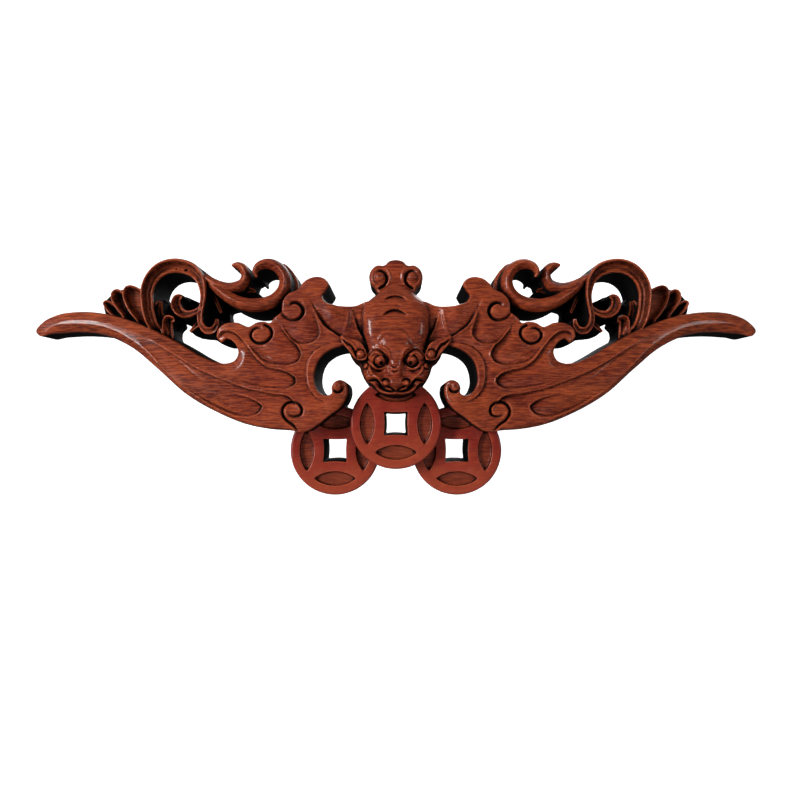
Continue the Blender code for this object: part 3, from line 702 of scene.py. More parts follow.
    def build(self) -> list[Shape]:
        """Makes the scrollwork over both shoulders.

        Returns:
            The ribbons, lobes, leaves and grounds.
        """
        left = [
            self.ribbon(self.ring, self.ring_height),
            self.ribbon(self.scroll, self.scroll_height, 0.8, True),
            self.ribbon(self.leaf, self.ring_height, 1.0, True),
            self.ribbon(self.small_curl, self.ring_height - 2, 0.6),
            plate(self.backing, level(self.backing_height * MM, MM)),
        ]
        left += [self.fan(number) for number in range(len(self.fans))]
        left += [self.ribbon(inner, self.leaf_height, 0.4) for inner in self.inner_leaves]
        left += [plate(ground, level(self.ground_height * MM, MM)) for ground in self.grounds]
        return left + [shape.mirrored() for shape in left]


@dataclass(frozen=True)
class Bat:
    """The bat's body, head, ears and tail crest. Heights are in millimetres."""

    neck_height: float = 22.0
    crest_height: float = 21.0
    ear_height: float = 40.0
    blend: float = 0.3
    flank_drop: float = 6.3
    flank_power: float = 3.2
    fine_step: float = 0.33 * MM
    outline: tuple[Row, ...] = (
        (-2.7, 21.4), (-6, 19.9), (-9.4, 16.9), (-11.9, 14), (-15, 11), (-17, 8.5), (-17.6, 3.4), (-17.6, -2),
        (-17.2, -7.3), (-16, -10.8), (-15.5, -14), (-15.8, -18), (-17.2, -22), (-18, -25.4), (-17.1, -29.3),
        (-15.3, -32.5), (-12.8, -35), (-9.9, -37.3), (-7.3, -39.2), (-4.2, -40.3),
    )
    spine: tuple[Row, ...] = (
        (-42, 33), (-39.5, 37), (-36, 38.6), (-29, 38.8), (-21, 38.8), (-15, 40.3), (-9, 41.2), (-3, 41),
        (3, 39.7), (8, 37.5), (12.5, 34), (17, 29.5), (22, 25),
    )
    forms: tuple[Row, ...] = (
        (0, -14.2, 43, 8.9, 8, 4.5), (0, -23, 41.7, 4.2, 9.5, 4), (0, -32.8, 43.9, 5.8, 3.9, 5),
        (0, -36.4, 41.4, 8.4, 3.8, 5), (0, -33.5, 40.6, 12, 7, 5),
    )
    side_forms: tuple[Row, ...] = (
        (-8.6, -19.2, 41.4, 6, 5, 4), (-13, -27.2, 40.7, 4.4, 6.5, 5), (-9.6, -31.2, 40.6, 4.4, 4.4, 4),
        (-5.4, -33.7, 43.6, 2.5, 2.1, 3.5),
    )
    crest: tuple[Row, ...] = (
        (-4, 35.2), (-6.5, 33), (-10, 33.1), (-13.3, 31), (-14.9, 27), (-14.2, 23), (-11.5, 19.5), (-9, 12),
    )
    neck: tuple[Row, ...] = (
        (-8, 19), (-13, 10), (-21, -6), (-27, -12.5), (-25.6, -16), (-24, -19.5), (-20.6, -22.6),
        (-18.9, -27.2), (-17.4, -30.5), (-15, -34), (-11, -40),
    )
    ear: tuple[Row, ...] = (
        (-28.8, -8.4), (-26.5, -9.1), (-24.5, -9.7), (-20.8, -10.9), (-17.8, -12.7), (-16.1, -15.7),
        (-15.2, -18.5), (-15.6, -20.9), (-18.7, -21.6), (-21.3, -20.6), (-23.5, -18), (-25.3, -15.8),
        (-27.6, -13.2), (-28.9, -10.8),
    )
    ear_ball: Boss = Boss(-18.5, -18.4, 2.0, 1.7)
    ear_strokes: tuple[Stroke, ...] = (
        Stroke(((-28.2, -9.6, 0.5), (-25.6, -11.3), (-23.1, -12.6), (-21.3, -14.7),
            (-20.3, -16.4, 0.5)), -1.0, 0.65),
        Stroke(((-27.6, -10.9, 0.5), (-25.6, -12.7), (-23.5, -14), (-22, -16.2),
            (-20.9, -18.8, 0.7)), 2.4, 0.65),
        Stroke(((-28, -12, 0.4), (-26, -14.4, 0.9), (-23.9, -16.6), (-22.2, -19.2, 0.9),
            (-19.4, -20.9, 0.5)), -0.6, 0.6),
    )
    crest_tools: tuple[Stroke | Boss, ...] = (
        Boss(-9, 26.2, 2.6, 1.6),
        Stroke(((-10.6, 29, 0.3), (-8.8, 29.6, 0.8), (-6.8, 28.8), (-5.4, 26.8, 1.1), (-5.2, 24, 1.1),
            (-6.6, 21.6, 1.1), (-9, 19.9)), 2.4, 1.05),
        Stroke(((-12, 27.4, 0.3), (-12, 24.6, 0.8), (-10.6, 22.6, 0.8), (-9, 22.2, 0.4)), 0.8, 0.7),
        Stroke(((-5.8, 31.2, 0.3), (-3.9, 28.6), (-3.5, 25.4), (-4.4, 22.4, 0.6)), -0.7, 0.9),
    )
    eye: Boss = Boss(-8.3, -22.2, 2.5, 2.0)
    cheek_curl: Boss = Boss(-16.2, -24.4, 1.4, 1.7)
    # The left half of the face: brow, eye, nose wing, cheek and lips.
    features: tuple[Stroke | Boss, ...] = (
        Boss(-5.3, -33.8, 1.8, 1.2, 1.4, -30),
        Stroke(((-13.4, -20.8, 0.5), (-12.8, -18.9), (-10.2, -17.8), (-7.8, -19.2), (-6.2, -21.2),
            (-5.4, -23.4, 0.5)), -1.2, 0.7),
        Stroke(((-14.2, -19.4, 0.5), (-13.2, -17.2), (-10.6, -16), (-7.6, -17.2), (-5.5, -19.5),
            (-4.2, -21.5), (-4.6, -23.2, 0.5)), 2.0, 0.65),
        Stroke(((-9.6, -14, 0.2), (-7.8, -14.6, 0.8), (-4.5, -16.6), (-2.8, -20.8, 0.5)), -1.2, 0.9),
        Stroke(((-12.9, -22.6, 0.5), (-11.5, -24.8), (-9.3, -26), (-7.1, -25.5),
            (-5.6, -24.1, 0.5)), -1.1, 0.7),
        Stroke(((-13.8, -23.4, 0.4), (-12.2, -26), (-9.3, -27.4), (-6.4, -26.8, 0.4)), 1.3, 0.65),
        Stroke(((-14.7, -17.6, 0.4), (-14.4, -19.6), (-14.1, -21.6, 0.4)), -0.9, 0.65),
        Stroke(((-14.9, -23.6, 0.4), (-13.8, -26.1), (-12.2, -28.6), (-9.6, -29.9, 0.8),
            (-7.6, -31, 0.4)), -1.4, 0.95),
        Stroke(((-14.4, -30.6, 0.3), (-12.6, -30.3), (-10.4, -30.4), (-8.7, -31.5),
            (-7.7, -32.8, 0.4)), -1.3, 0.7),
        Stroke(((-14.6, -32.4, 0.5), (-12.6, -32.1), (-10.8, -31.8), (-8.9, -33.2), (-7.9, -35.1),
            (-5.8, -37), (-3.1, -37.8), (0, -37.8, 0.7)), 2.8, 0.75),
        Stroke(((-12.7, -33, 0.5), (-10.9, -34.3), (-9.4, -36.5), (-7.4, -38), (-4.8, -38.8), (-2.3, -39),
            (0, -38.5)), -1.7, 0.85),
        Stroke(((-13.8, -33.8, 0.5), (-12.2, -35.2), (-10.6, -37.4), (-8.4, -39.1),
            (-5.4, -39.9, 0.5)), 1.6, 0.55),
        Stroke(((-6.8, -35.4, 0.4), (-7.2, -34.2), (-7, -32.6), (-5.9, -31.5), (-4.1, -31.6),
            (-3.2, -32.7, 0.4)), 2.6, 0.65),
        Stroke(((-5.1, -35.1, 0.6), (-3.3, -35.7), (-2.1, -36.4), (-0.7, -37.1, 0.6)), 2.8, 0.6),
        Stroke(((-17.2, -13, 0.4), (-15.6, -15.7), (-15.1, -18.5), (-15.2, -21.3, 0.6)), 1.6, 0.65),
    )
    # The creases across the body and the short ones over the nose.
    creases: tuple[Stroke, ...] = (
        Stroke(((-6.8, 10.7, 0.2), (-4.2, 12.7), (-1, 13.6), (3, 12.9),
            (6.1, 10.7, 0.2)), 1.5, 0.6, 3.5, Side.RIGHT),
        Stroke(((-7.4, 1.8, 0.2), (-4.7, 4.2), (-1.4, 5.2), (2.4, 4.6),
            (6.4, 1.9, 0.2)), 1.6, 0.6, 3.5, Side.RIGHT),
        Stroke(((-1.8, 7, 0.2), (0.8, 7.3), (2.8, 6.5, 0.2)), 1.0, 0.6),
        Stroke(((-1.5, -12.4, 0.2), (1, -13), (4, -12.4, 0.2)), 0.5, 0.6),
        Stroke(((-1, -9.9, 0.2), (1.5, -10.4), (4, -9.9, 0.2)), 0.4, 0.6),
        Stroke(((-9.6, -11.5, 0.1), (-8, -8.6, 0.8), (-5, -6.8), (-0.5, -6.2), (4.4, -7.6, 0.8),
            (7.2, -10.6, 0.1)), 0.6, 0.9, 4, Side.LEFT),
        Stroke(((-2.5, -24.5, 0.5), (-0.9, -25.6), (0.7, -25, 0.5)), 2.0, 0.65),
        Stroke(((-2.6, -26.8, 0.5), (-0.9, -27.8), (1, -27.2, 0.5)), 1.9, 0.65),
    )

    def body_face(self, x: np.ndarray, z: np.ndarray, d: np.ndarray) -> np.ndarray:
        """Gives the height of body and head over the back.

        Args:
            x: The points' x in metres.
            z: The points' z in metres.
            d: Their distance to the outline in metres.

        Returns:
            Heights in metres.
        """
        edge_x, edge_z = np.array(self.outline[::-1]).T
        width = np.interp(z / UNIT, edge_z, -edge_x)
        share = np.clip(np.abs(x) / UNIT / width, 0, 1) ** self.flank_power
        line = smooth_line(np.array(self.spine) * (UNIT, MM), DRAWING_STEP)
        height = np.interp(z, line[:, 0], line[:, 1]) / MM - self.flank_drop * (1 - np.sqrt(1 - share))
        total = np.exp(height / self.blend - 100)
        right_forms = tuple((-form[0], *form[1:]) for form in self.side_forms)
        for centre_x, centre_z, crown, across, up, out in self.forms + self.side_forms + right_forms:
            q = ((x / UNIT - centre_x) / across) ** 2 + ((z / UNIT - centre_z) / up) ** 2
            own = crown - out * (1 - np.sqrt(np.clip(1 - q, 0, 1)))
            total += np.where(q < 1, np.exp(own / self.blend - 100), 0)
        height = (np.log(total) + 100) * self.blend * MM
        height -= rounded_edge(d, 1.2 * MM)
        balls = (self.eye, self.eye.moat(1.5, 0.6), self.cheek_curl, self.cheek_curl.moat(1.6, 0.65, 1.4))
        return carve(carve(height, balls + self.features, -np.abs(x), z), self.creases, x, z)

    def ear_face(self, x: np.ndarray, z: np.ndarray, d: np.ndarray) -> np.ndarray:
        """Gives the left ear's height over the back, for points in metres."""
        height = (self.ear_height - 0.16 * np.clip(-x / UNIT - 15, 0, 20)) * MM - rounded_edge(d, 0.9 * MM)
        return carve(height, (self.ear_ball, self.ear_ball.moat(1.7, 0.65, 1.3), *self.ear_strokes), x, z)

    def crest_face(self, x: np.ndarray, z: np.ndarray, d: np.ndarray) -> np.ndarray:
        """Gives the tail crest's height over the back, for points in metres."""
        height = self.crest_height * MM - rounded_edge(d, 2.6 * MM)
        return carve(height, self.crest_tools, -np.abs(x), z)

    def build(self) -> list[Shape]:
        """Carves body, head, crest, neck and ears.

        Returns:
            The five forms.
        """
        ear = plate(self.ear, self.ear_face, self.fine_step)
        return [
            plate(both_sides(self.outline), self.body_face, self.fine_step),
            plate(both_sides(self.crest), self.crest_face, 0.35 * MM),
            plate(both_sides(self.neck), level(self.neck_height * MM, 3 * MM)),
            ear, ear.mirrored(),
        ]


@dataclass(frozen=True)
class Coins:
    """Three pierced coins under the chin. Sizes are in millimetres."""

    diameter: float = 48.6
    facets: int = 144
    hole: float = 13.0
    hole_back: float = 11.0
    hole_bow: float = 0.5
    edge_round: float = 1.4
    side_face: float = 22.0
    middle_face: float = 29.0
    side_offset: float = 33.2
    side_drop: float = 14.6
    middle_z: float = -54.1
    petal_length: float = 22.4
    petal_width: float = 7.7
    petal_offset: float = 15.3
    petal_depth: float = 2.2

    def places(self) -> list[Row]:
        """Places the coins.

        Returns:
            Centre x, z and face height of each coin, in millimetres.
        """
        side_z = self.middle_z - self.side_drop
        return [(-self.side_offset, side_z, self.side_face), (self.side_offset, side_z, self.side_face),
                (0, self.middle_z, self.middle_face)]

    def cover(self, co: np.ndarray) -> tuple[np.ndarray, np.ndarray]:
        """Tells which points are on a coin.

        Args:
            co: Points in metres.

        Returns:
            1 on a coin, less in its petals, and how far down the coin's face it is, from 0 to 1.
        """
        share, down = np.zeros(len(co)), np.zeros(len(co))
        for x, z, face in self.places():
            away = away_from(co, x * MM, z * MM)
            on_coin = (away < self.diameter / 2 * MM + 0.3 * MM) & (-co[:, 1] < face * MM + 0.4 * MM)
            share = np.where(on_coin, 1 - 0.7 * ease(0.6, 1.4, face + co[:, 1] / MM), share)
            down = np.where(on_coin, ease(0.2, -0.9, (co[:, 2] - z * MM) / (self.diameter / 2 * MM)), down)
        return share, down

    def petal(self, x: float, z: float, upright: bool, face: float) -> Shape:
        """Makes the cutter of one pointed field.

        Args:
            x: Centre in millimetres.
            z: Centre in millimetres.
            upright: Whether it stands on its point.
            face: The coin's face height in millimetres.

        Returns:
            The cutter, with slanting sides.
        """
        half, rise = self.petal_length / 2, self.petal_width / 2
        radius = (half**2 + rise**2) / (2 * rise)
        angles = np.linspace(-math.asin(half / radius), math.asin(half / radius), 25)
        arc = np.stack([radius * np.sin(angles), radius * np.cos(angles) - (radius - rise)], axis=1)
        outline = np.vstack([arc[:-1], -arc[:-1]])[:, :: -1 if upright else 1]
        return self.bridged(x, z, (-face - 1, outline * 1.09), (-face + self.petal_depth, outline * 0.92))

    def bridged(self, x: float, z: float, *rings: tuple[float, np.ndarray]) -> Shape:
        """Joins two flat rings into a closed block.

        Args:
            x: Centre in millimetres.
            z: Centre in millimetres.
            rings: Each ring's y and its points round the centre, in millimetres.

        Returns:
            The block.
        """
        rows = [np.stack([x + flat[:, 0], np.full(len(flat), y), z + flat[:, 1]], axis=1)
                for y, flat in rings]
        size = len(rows[0])
        walls = [(i, (i + 1) % size, (i + 1) % size + size, i + size) for i in range(size)]
        return Shape(np.vstack(rows) * MM, [*walls, tuple(range(size))[::-1], tuple(range(size, 2 * size))])

    def bowed(self, width: float) -> np.ndarray:
        """Draws a square whose sides bow inward.

        Args:
            width: Its width in millimetres.

        Returns:
            Its points round the centre.
        """
        t = np.linspace(-1, 1, 9)[:-1]
        side = np.stack([t, -1 + 2 * self.hole_bow / width * (1 - t**2)], axis=1)
        sides = [side @ np.array([[c, s], [-s, c]]) for c, s in ((1, 0), (0, 1), (-1, 0), (0, -1))]
        return np.vstack(sides) * width / 2

    def blank(self, x: float, z: float, face: float) -> bpy.types.Object:
        """Turns a round blank with a rounded front rim.

        Args:
            x: Centre in millimetres.
            z: Centre in millimetres.
            face: Face height in millimetres.

        Returns:
            The blank.
        """
        bpy.ops.object.select_all(action="DESELECT")
        depth = face * MM + WASTE
        bpy.ops.mesh.primitive_cylinder_add(
            vertices=self.facets, radius=self.diameter / 2 * MM, depth=depth,
            location=(x * MM, WASTE - depth / 2, z * MM), rotation=(math.pi / 2, 0, 0),
        )
        blank = bpy.context.active_object
        bpy.ops.object.transform_apply(location=True, rotation=True, scale=True)
        bpy.ops.object.mode_set(mode="EDIT")
        pick_edges(blank, lambda place: place.y < 0.1 * MM - face * MM)
        bpy.ops.mesh.bevel(offset=self.edge_round * MM, segments=5, profile=0.5)
        bpy.ops.object.mode_set(mode="OBJECT")
        return blank

    def build(self) -> list[bpy.types.Object]:
        """Makes each coin and cuts its petals and its hole, which narrows to the back.

        Returns:
            The coins.
        """
        coins = []
        for x, z, face in self.places():
            blank, reach = self.blank(x, z, face), self.petal_offset
            cuts = [self.petal(x + dx * reach, z + dz * reach, dx != 0, face)
                    for dx, dz in ((-1, 0), (1, 0), (0, -1), (0, 1))]
            ends = (-face - 1, self.bowed(self.hole)), (2 * WASTE / MM, self.bowed(self.hole_back))
            for cut in [*cuts, self.bridged(x, z, *ends)]:
                cutter = mesh_object("cutter", [cut])
                edit_all(cutter)
                bpy.ops.mesh.normals_make_consistent(inside=False)
                bpy.ops.object.mode_set(mode="OBJECT")
                apply_modifier(blank, "BOOLEAN", operation="DIFFERENCE", solver="EXACT", object=cutter)
                bpy.data.objects.remove(cutter)
            coins.append(blank)
        return coins


class Socket:
    """A node's output, which takes part in Python expressions."""

    def __init__(self, sheet: "NodeSheet", output: bpy.types.NodeSocket) -> None:
        """Wraps an output of a node on a sheet."""
        self.sheet = sheet
        self.output = output

    def math(self, operation: str, *values: "Socket | float") -> "Socket":
        """Adds a Math node on these values."""
        return self.sheet.add("ShaderNodeMath", {"operation": operation}, dict(enumerate(values)))

    def __add__(self, other: "Socket | float") -> "Socket":
        """Adds."""
        return self.math("ADD", self, other)

    def __radd__(self, other: float) -> "Socket":
        """Adds, reflected."""
        return self.math("ADD", other, self)

    def __sub__(self, other: "Socket | float") -> "Socket":
        """Subtracts."""
        return self.math("SUBTRACT", self, other)

    def __rsub__(self, other: float) -> "Socket":
        """Subtracts, reflected."""
        return self.math("SUBTRACT", other, self)

    def __mul__(self, other: "Socket | float") -> "Socket":
        """Multiplies."""
        return self.math("MULTIPLY", self, other)

    def __rmul__(self, other: float) -> "Socket":
        """Multiplies, reflected."""
        return self.math("MULTIPLY", other, self)

    def between(self, low: float, high: float) -> "Socket":
        """A smooth step from 0 at low to 1 at high."""
        inputs = {"Value": self, "From Min": low, "From Max": high}
        return self.sheet.add("ShaderNodeMapRange", {"interpolation_type": "SMOOTHSTEP"}, inputs)


class NodeSheet:
    """The node tree of a material or a world, filled node by node."""

    def __init__(self, owner: bpy.types.Material | bpy.types.World, shader: str = "Principled BSDF") -> None:
        """Opens the owner's tree.

        Args:
            owner: The material or world.
            shader: The name of the bare shader that it starts with.
        """
        owner.use_nodes = True
        self.owner, self.tree = owner, owner.node_tree
        self.shader = self.tree.nodes[shader]

    def add(
        self, kind: str, settings: dict[str, object], inputs: dict[str | int, object], output: str | int = 0
    ) -> Socket:
        """Adds a node.

        Args:
            kind: The node's type.
            settings: Its settings, set first.
            inputs: Values or sockets for its inputs, by name or number.
            output: The output that comes back.

        Returns:
            The wrapped output.
        """
        node = self.tree.nodes.new(kind)
        for name, value in settings.items():
            setattr(node, name, value)
        for key, value in inputs.items():
            self.feed(node.inputs[key], value)
        return Socket(self, node.outputs[output])

    def feed(self, entry: bpy.types.NodeSocket, value: object) -> None:
        """Sets an input to a value, or links a socket to it.

        Args:
            entry: The input.
            value: The value or socket.
        """
        if isinstance(value, Socket):
            self.tree.links.new(value.output, entry)
        else:
            entry.default_value = value

    def dress(self, inputs: dict[str, object]) -> None:
        """Sets or links the shader's own inputs."""
        for name, value in inputs.items():
            self.feed(self.shader.inputs[name], value)

    def attribute(self, name: str) -> Socket:
        """Reads a value stored on the mesh."""
        return self.add("ShaderNodeAttribute", {"attribute_name": name}, {}, "Fac")

    def place(self, scale: Row) -> Socket:
        """Object coordinates, stretched by a scale for each axis."""
        own = self.add("ShaderNodeTexCoord", {}, {}, "Object")
        return self.add("ShaderNodeVectorMath", {"operation": "MULTIPLY"}, {0: own, 1: scale})

    def noise(self, scale: Row, detail: float, roughness: float = 0.5, distortion: float = 0.0) -> Socket:
        """Noise on Object coordinates, with a scale for each axis."""
        inputs = {"Scale": 1.0, "Detail": detail, "Roughness": roughness, "Distortion": distortion}
        return self.add("ShaderNodeTexNoise", {}, {"Vector": self.place(scale), **inputs})

    def blend(self, share: Socket | float, low: object, high: object) -> Socket:
        """Mixes two colours."""
        return self.add("ShaderNodeMix", {"data_type": "RGBA"}, {0: share, 6: low, 7: high}, 2)


@dataclass(frozen=True)
class LacqueredTimber:
    """Stained red-brown timber under a soft-gloss lacquer, with dark stain and painted shade in the recesses,
    lighter worn edges with painted highlights, and painted light low on the coins.
    """

    name: str = "lacquered_timber"
    amber: Row = (0.55, 0.104, 0.031, 1)
    umber: Row = (0.12, 0.018, 0.010, 1)
    cinnabar: Row = (0.38, 0.027, 0.019, 1)
    # Lighter worn wood on edges, also a painted highlight on ridges and painted light low on the coins.
    rubbed_and_lit: Row = (0.68, 0.14, 0.052, 1)
    # Near black for dark stain and painted shade in recesses, on walls and in creases.
    stain_shade_black: Row = (0.0035, 0.0028, 0.0026, 1)
    raw: Row = (0.33, 0.15, 0.075, 1)
    roughness: float = 0.33
    specular: float = 0.15
    coat: float = 0.45
    coat_roughness: float = 0.13

    def make(self) -> bpy.types.Material:
        """Builds the material's nodes.

        Returns:
            The material.
        """
        sheet = NodeSheet(bpy.data.materials.new(self.name))
        figure = sheet.noise((11, 70, 80), 4, 0.55, 0.6).between(0.34, 0.66)
        streak = sheet.noise((130, 600, 1400), 3, 0.65, 0.2)
        pores = sheet.noise((230, 2200, 3300), 1).between(0.55, 0.68)
        blotch = sheet.noise((45, 60, 60), 2).between(0.3, 0.7)
        red, stain_and_shade, wear_and_highlight, rear = (sheet.attribute(name) for name in ("red", "stain_and_shade", "wear_and_highlight", "rear"))
        timber = sheet.blend(figure * 0.42 + streak.between(0.4, 0.6) * 0.72 - 0.04, self.umber, self.amber)
        timber = sheet.blend(red * 0.82 + blotch * 0.1, timber, self.cinnabar)
        timber = sheet.blend(pores * 0.5, timber, self.umber)
        # Worn edges with painted highlights on ridges, and painted light on the lower coin faces.
        timber = sheet.blend(wear_and_highlight * 0.8, timber, self.rubbed_and_lit)
        # Dark stain and painted shade in the recesses, on walls and in creases.
        timber = sheet.blend(stain_and_shade, timber, self.stain_shade_black)
        bare = sheet.blend(streak, self.raw, self.umber)
        gloss = streak * 0.12 + blotch * 0.08 + stain_and_shade * 0.45 + rear * 0.35 + (self.roughness - 0.1)
        facets = sheet.noise((150, 300, 420), 2)
        relief = streak * 0.5 + facets * 0.9 - pores * 0.5 + rear * streak * 2
        bump = {"Strength": 0.4, "Distance": 0.25 * MM, "Height": relief}
        sheet.dress({
            "Base Color": sheet.blend(rear, timber, bare),
            "Roughness": gloss,
            "Coat Weight": (1 - rear) * (1 - stain_and_shade) * self.coat,
            "Coat Roughness": self.coat_roughness,
            "Specular IOR Level": self.specular,
            "Normal": sheet.add("ShaderNodeBump", {}, bump, "Normal"),
        })
        return sheet.owner


@dataclass
class Panel:
    """The whole carving as one fused piece."""

    name: str = "carved_panel"
    grain: float = 0.37 * MM
    face_budget: int = 197000
    smoothing: int = 1
    spare: float = 10.0
    ruddy: float = 0.16
    crease_rounds: tuple[int, int] = (3, 16)
    crease_angle: float = math.radians(50)
    sky_cell: float = 0.5 * MM
    sky_reach: Row = (1.5, 2.2, 3.2, 4.6, 6.6, 9)
    sky_turns: int = 16
    pits: tuple[Row, ...] = (
        (-7.6, -23.2, 0.95, 1.8), (7.6, -23.2, 0.95, 1.8), (-114.9, 29.2, 0.85, 1.6), (-120, 29.8, 0.5, 0.8),
    )
    wing: Wing = field(default_factory=Wing)
    foliage: Foliage = field(default_factory=Foliage)
    bat: Bat = field(default_factory=Bat)
    coins: Coins = field(default_factory=Coins)

    def build(self) -> bpy.types.Object:
        """Fuses the carved forms, planes the back and stores the masks of dark stain with painted shade, and
        of worn edges with painted highlights.

        Returns:
            The finished piece.
        """
        shapes = []
        for part in (self.wing, self.foliage, self.bat):
            made = part.build()
            faces = sum(len(form.faces) for form in made)
            LOG.info("%s: %d forms, %d faces", type(part).__name__, len(made), faces)
            shapes += made
        piece = mesh_object(self.name, shapes)
        coins = self.coins.build()
        LOG.info("Coins: %d", len(coins))
        select_only(piece, *coins)
        bpy.ops.object.join()
        apply_modifier(piece, "REMESH", mode="VOXEL", voxel_size=self.grain)
        apply_modifier(piece, "SMOOTH", factor=0.5, iterations=self.smoothing)
        LOG.info("Fused: %d faces", len(piece.data.polygons))
        self.prick(piece)
        masks = self.masks(piece)
        ratio = self.face_budget / (2 * len(piece.data.polygons))
        self.spare_fine_work(piece)
        apply_modifier(
            piece, "DECIMATE", ratio=min(1, ratio), vertex_group="coarse", vertex_group_factor=self.spare,
        )
        LOG.info("Reduced: %d faces", len(piece.data.polygons))
        self.plane_back(piece)
        self.keep_in_box(piece)
        self.store(piece, masks)
        return piece

    def spare_fine_work(self, piece: bpy.types.Object) -> None:
        """Marks what may get coarser: all except the head.

        Args:
            piece: The fused piece.
        """
        x, y, z = read(piece.data.vertices, "co").T
        x, z = np.abs(x) / UNIT, z / UNIT
        head = ((x / 30) ** 2 + ((z + 24) / 18) ** 2 < 1) & (y < -0.026)
        group = piece.vertex_groups.new(name="coarse")
        for chosen, weight in ((~head, 1.0), (head, 0.0)):
            group.add(np.flatnonzero(chosen).tolist(), weight, "REPLACE")

    def prick(self, piece: bpy.types.Object) -> None:
        """Sinks the pupils and the brad holes into the carved face.

        Args:
            piece: The fused piece.
        """
        mesh = piece.data
        co, normal = read(mesh.vertices, "co"), read(mesh.vertex_normals, "vector")
        for x, z, radius, depth in self.pits:
            away = away_from(co, x * UNIT, z * UNIT) / (radius * UNIT)
            front = (away < 1) & (normal[:, 1] < -0.2)
            co[front, 1] += depth * MM * np.sqrt(1 - away[front] ** 2)
        mesh.vertices.foreach_set("co", co.ravel())
        mesh.update()

    def masks(self, piece: bpy.types.Object) -> tuple[np.ndarray, np.ndarray]:
        """Works out the dark stain with painted shade, and the worn edges with painted highlights and painted
        light, on the fused mesh.

        Args:
            piece: The fused piece, of even faces.

        Returns:
            Its points, and rows of dark stain with painted shade, of worn edges with painted highlights and
            painted light, and of depth below the face next to it in millimetres.
        """
        mesh = piece.data
        count = len(mesh.vertices)
        co, normal = read(mesh.vertices, "co").astype(float), read(mesh.vertex_normals, "vector")
        edges = read(mesh.edges, "vertices", 2, np.int32)
        a, b = edges.T
        degree = np.maximum(np.bincount(edges.ravel(), minlength=count), 1)
        bends, mean = [], co.copy()
        for rounds in self.crease_rounds:
            for _ in range(rounds):
                mean = np.stack([
                    (np.bincount(a, mean[b, axis], count) + np.bincount(b, mean[a, axis], count)) / degree
                    for axis in range(3)
                ], axis=1)
            bends.append(((mean - co) * normal).sum(axis=1) / MM)
        sky, drop = self.sky(co)
        # Dark stain and painted shade on steep faces that lie below a face next to them.
        wall = ease(0.5, 0.22, np.abs(normal[:, 1])) * ease(1.0, 2.6, drop)
        # Dark stain and painted shade on everything less than about 11 to 14.5 mm over the back, off the
        # coins.
        low = ease(14.5, 11, -co[:, 1] / MM)
        # Painted shade in creases and grooves, from how the mesh bends.
        groove = 0.9 * ease(0.04, 0.15, bends[0]) + 0.4 * ease(0.15, 0.6, bends[1])
        on_coin, down = self.coins.cover(co)
        # Painted shade where little of the front is open over a point, less of it on the coins.
        dim = ease(0.58, 0.27, sky) * (1 - 0.6 * np.ceil(on_coin))
        # Painted shade in the sunk petals of the coins.
        petal = 0.4 * (on_coin > 0) * (1 - on_coin)
        # The dark mask: stain and painted shade together.
        stain_and_shade = np.maximum.reduce([wall, low * (on_coin == 0), dim, groove, petal])
        # Painted shade in the pupils and brad holes.
        for x, z, radius, _ in self.pits:
            away = away_from(co, x * UNIT, z * UNIT) / (radius * UNIT)
            stain_and_shade = np.maximum(stain_and_shade, ease(1.3, 0.9, away))
        # Lighter worn wood on ridges, also standing in for painted highlights there, plus painted light down
        # the lower part of each coin's face.
        wear_and_highlight = 0.65 * ease(0.04, 0.14, -bends[0]) + 0.4 * ease(0.2, 0.8, -bends[1]) + 0.45 * down
        wear_and_highlight *= 1 - stain_and_shade
        return co, np.stack([np.clip(stain_and_shade, 0, 1), np.clip(wear_and_highlight, 0, 1), drop], axis=1)

    def sky(self, co: np.ndarray) -> tuple[np.ndarray, np.ndarray]:
        """Measures how open each point is to the front.

        Args:
            co: Points in metres.

        Returns:
            The share of open sky from 0 to 1, and the depth below the face next to it in millimetres.
        """
        margin = 20
        flat = co[:, [0, 2]]
        column, row = ((flat - flat.min(axis=0)) / self.sky_cell + margin).astype(int).T
        top = np.zeros((column.max() + margin + 1, row.max() + margin + 1))
        np.maximum.at(top, (column, row), -co[:, 1])
        share, drop = np.zeros(len(co)), np.zeros(len(co))
        for turn in np.arange(self.sky_turns) * 2 * math.pi / self.sky_turns:
            horizon = np.zeros(len(co))
            for reach in self.sky_reach:
                away = (round(reach * math.cos(turn)), round(reach * math.sin(turn)))
                rise = top[column + away[0], row + away[1]] + co[:, 1]
                horizon = np.maximum(horizon, rise / (math.hypot(*away) * self.sky_cell))
                if reach == self.sky_reach[0]:
                    drop = np.maximum(drop, rise / MM)
            share += (1 - horizon / np.sqrt(1 + horizon**2)) / self.sky_turns
        return share, drop

    def plane_back(self, piece: bpy.types.Object) -> None:
        """Cuts the piece flat on the plane y = 0.

        Args:
            piece: The fused piece.
        """
        edit_all(piece)
        bpy.ops.mesh.bisect(plane_co=(0, 0, 0), plane_no=(0, 1, 0), use_fill=True, clear_outer=True)
        bpy.ops.mesh.select_all(action="SELECT")
        bpy.ops.mesh.quads_convert_to_tris()
        bpy.ops.object.mode_set(mode="OBJECT")

    def keep_in_box(self, piece: bpy.types.Object) -> None:
        """Holds every point inside the box of the CAD solid.

        Args:
            piece: The planed piece.
        """
        low, high = (np.array(corner, float) for corner in CAD_BOX)
        co = np.clip(read(piece.data.vertices, "co"), low, high)
        piece.data.vertices.foreach_set("co", co.ravel().astype(np.float32))
        piece.data.update()

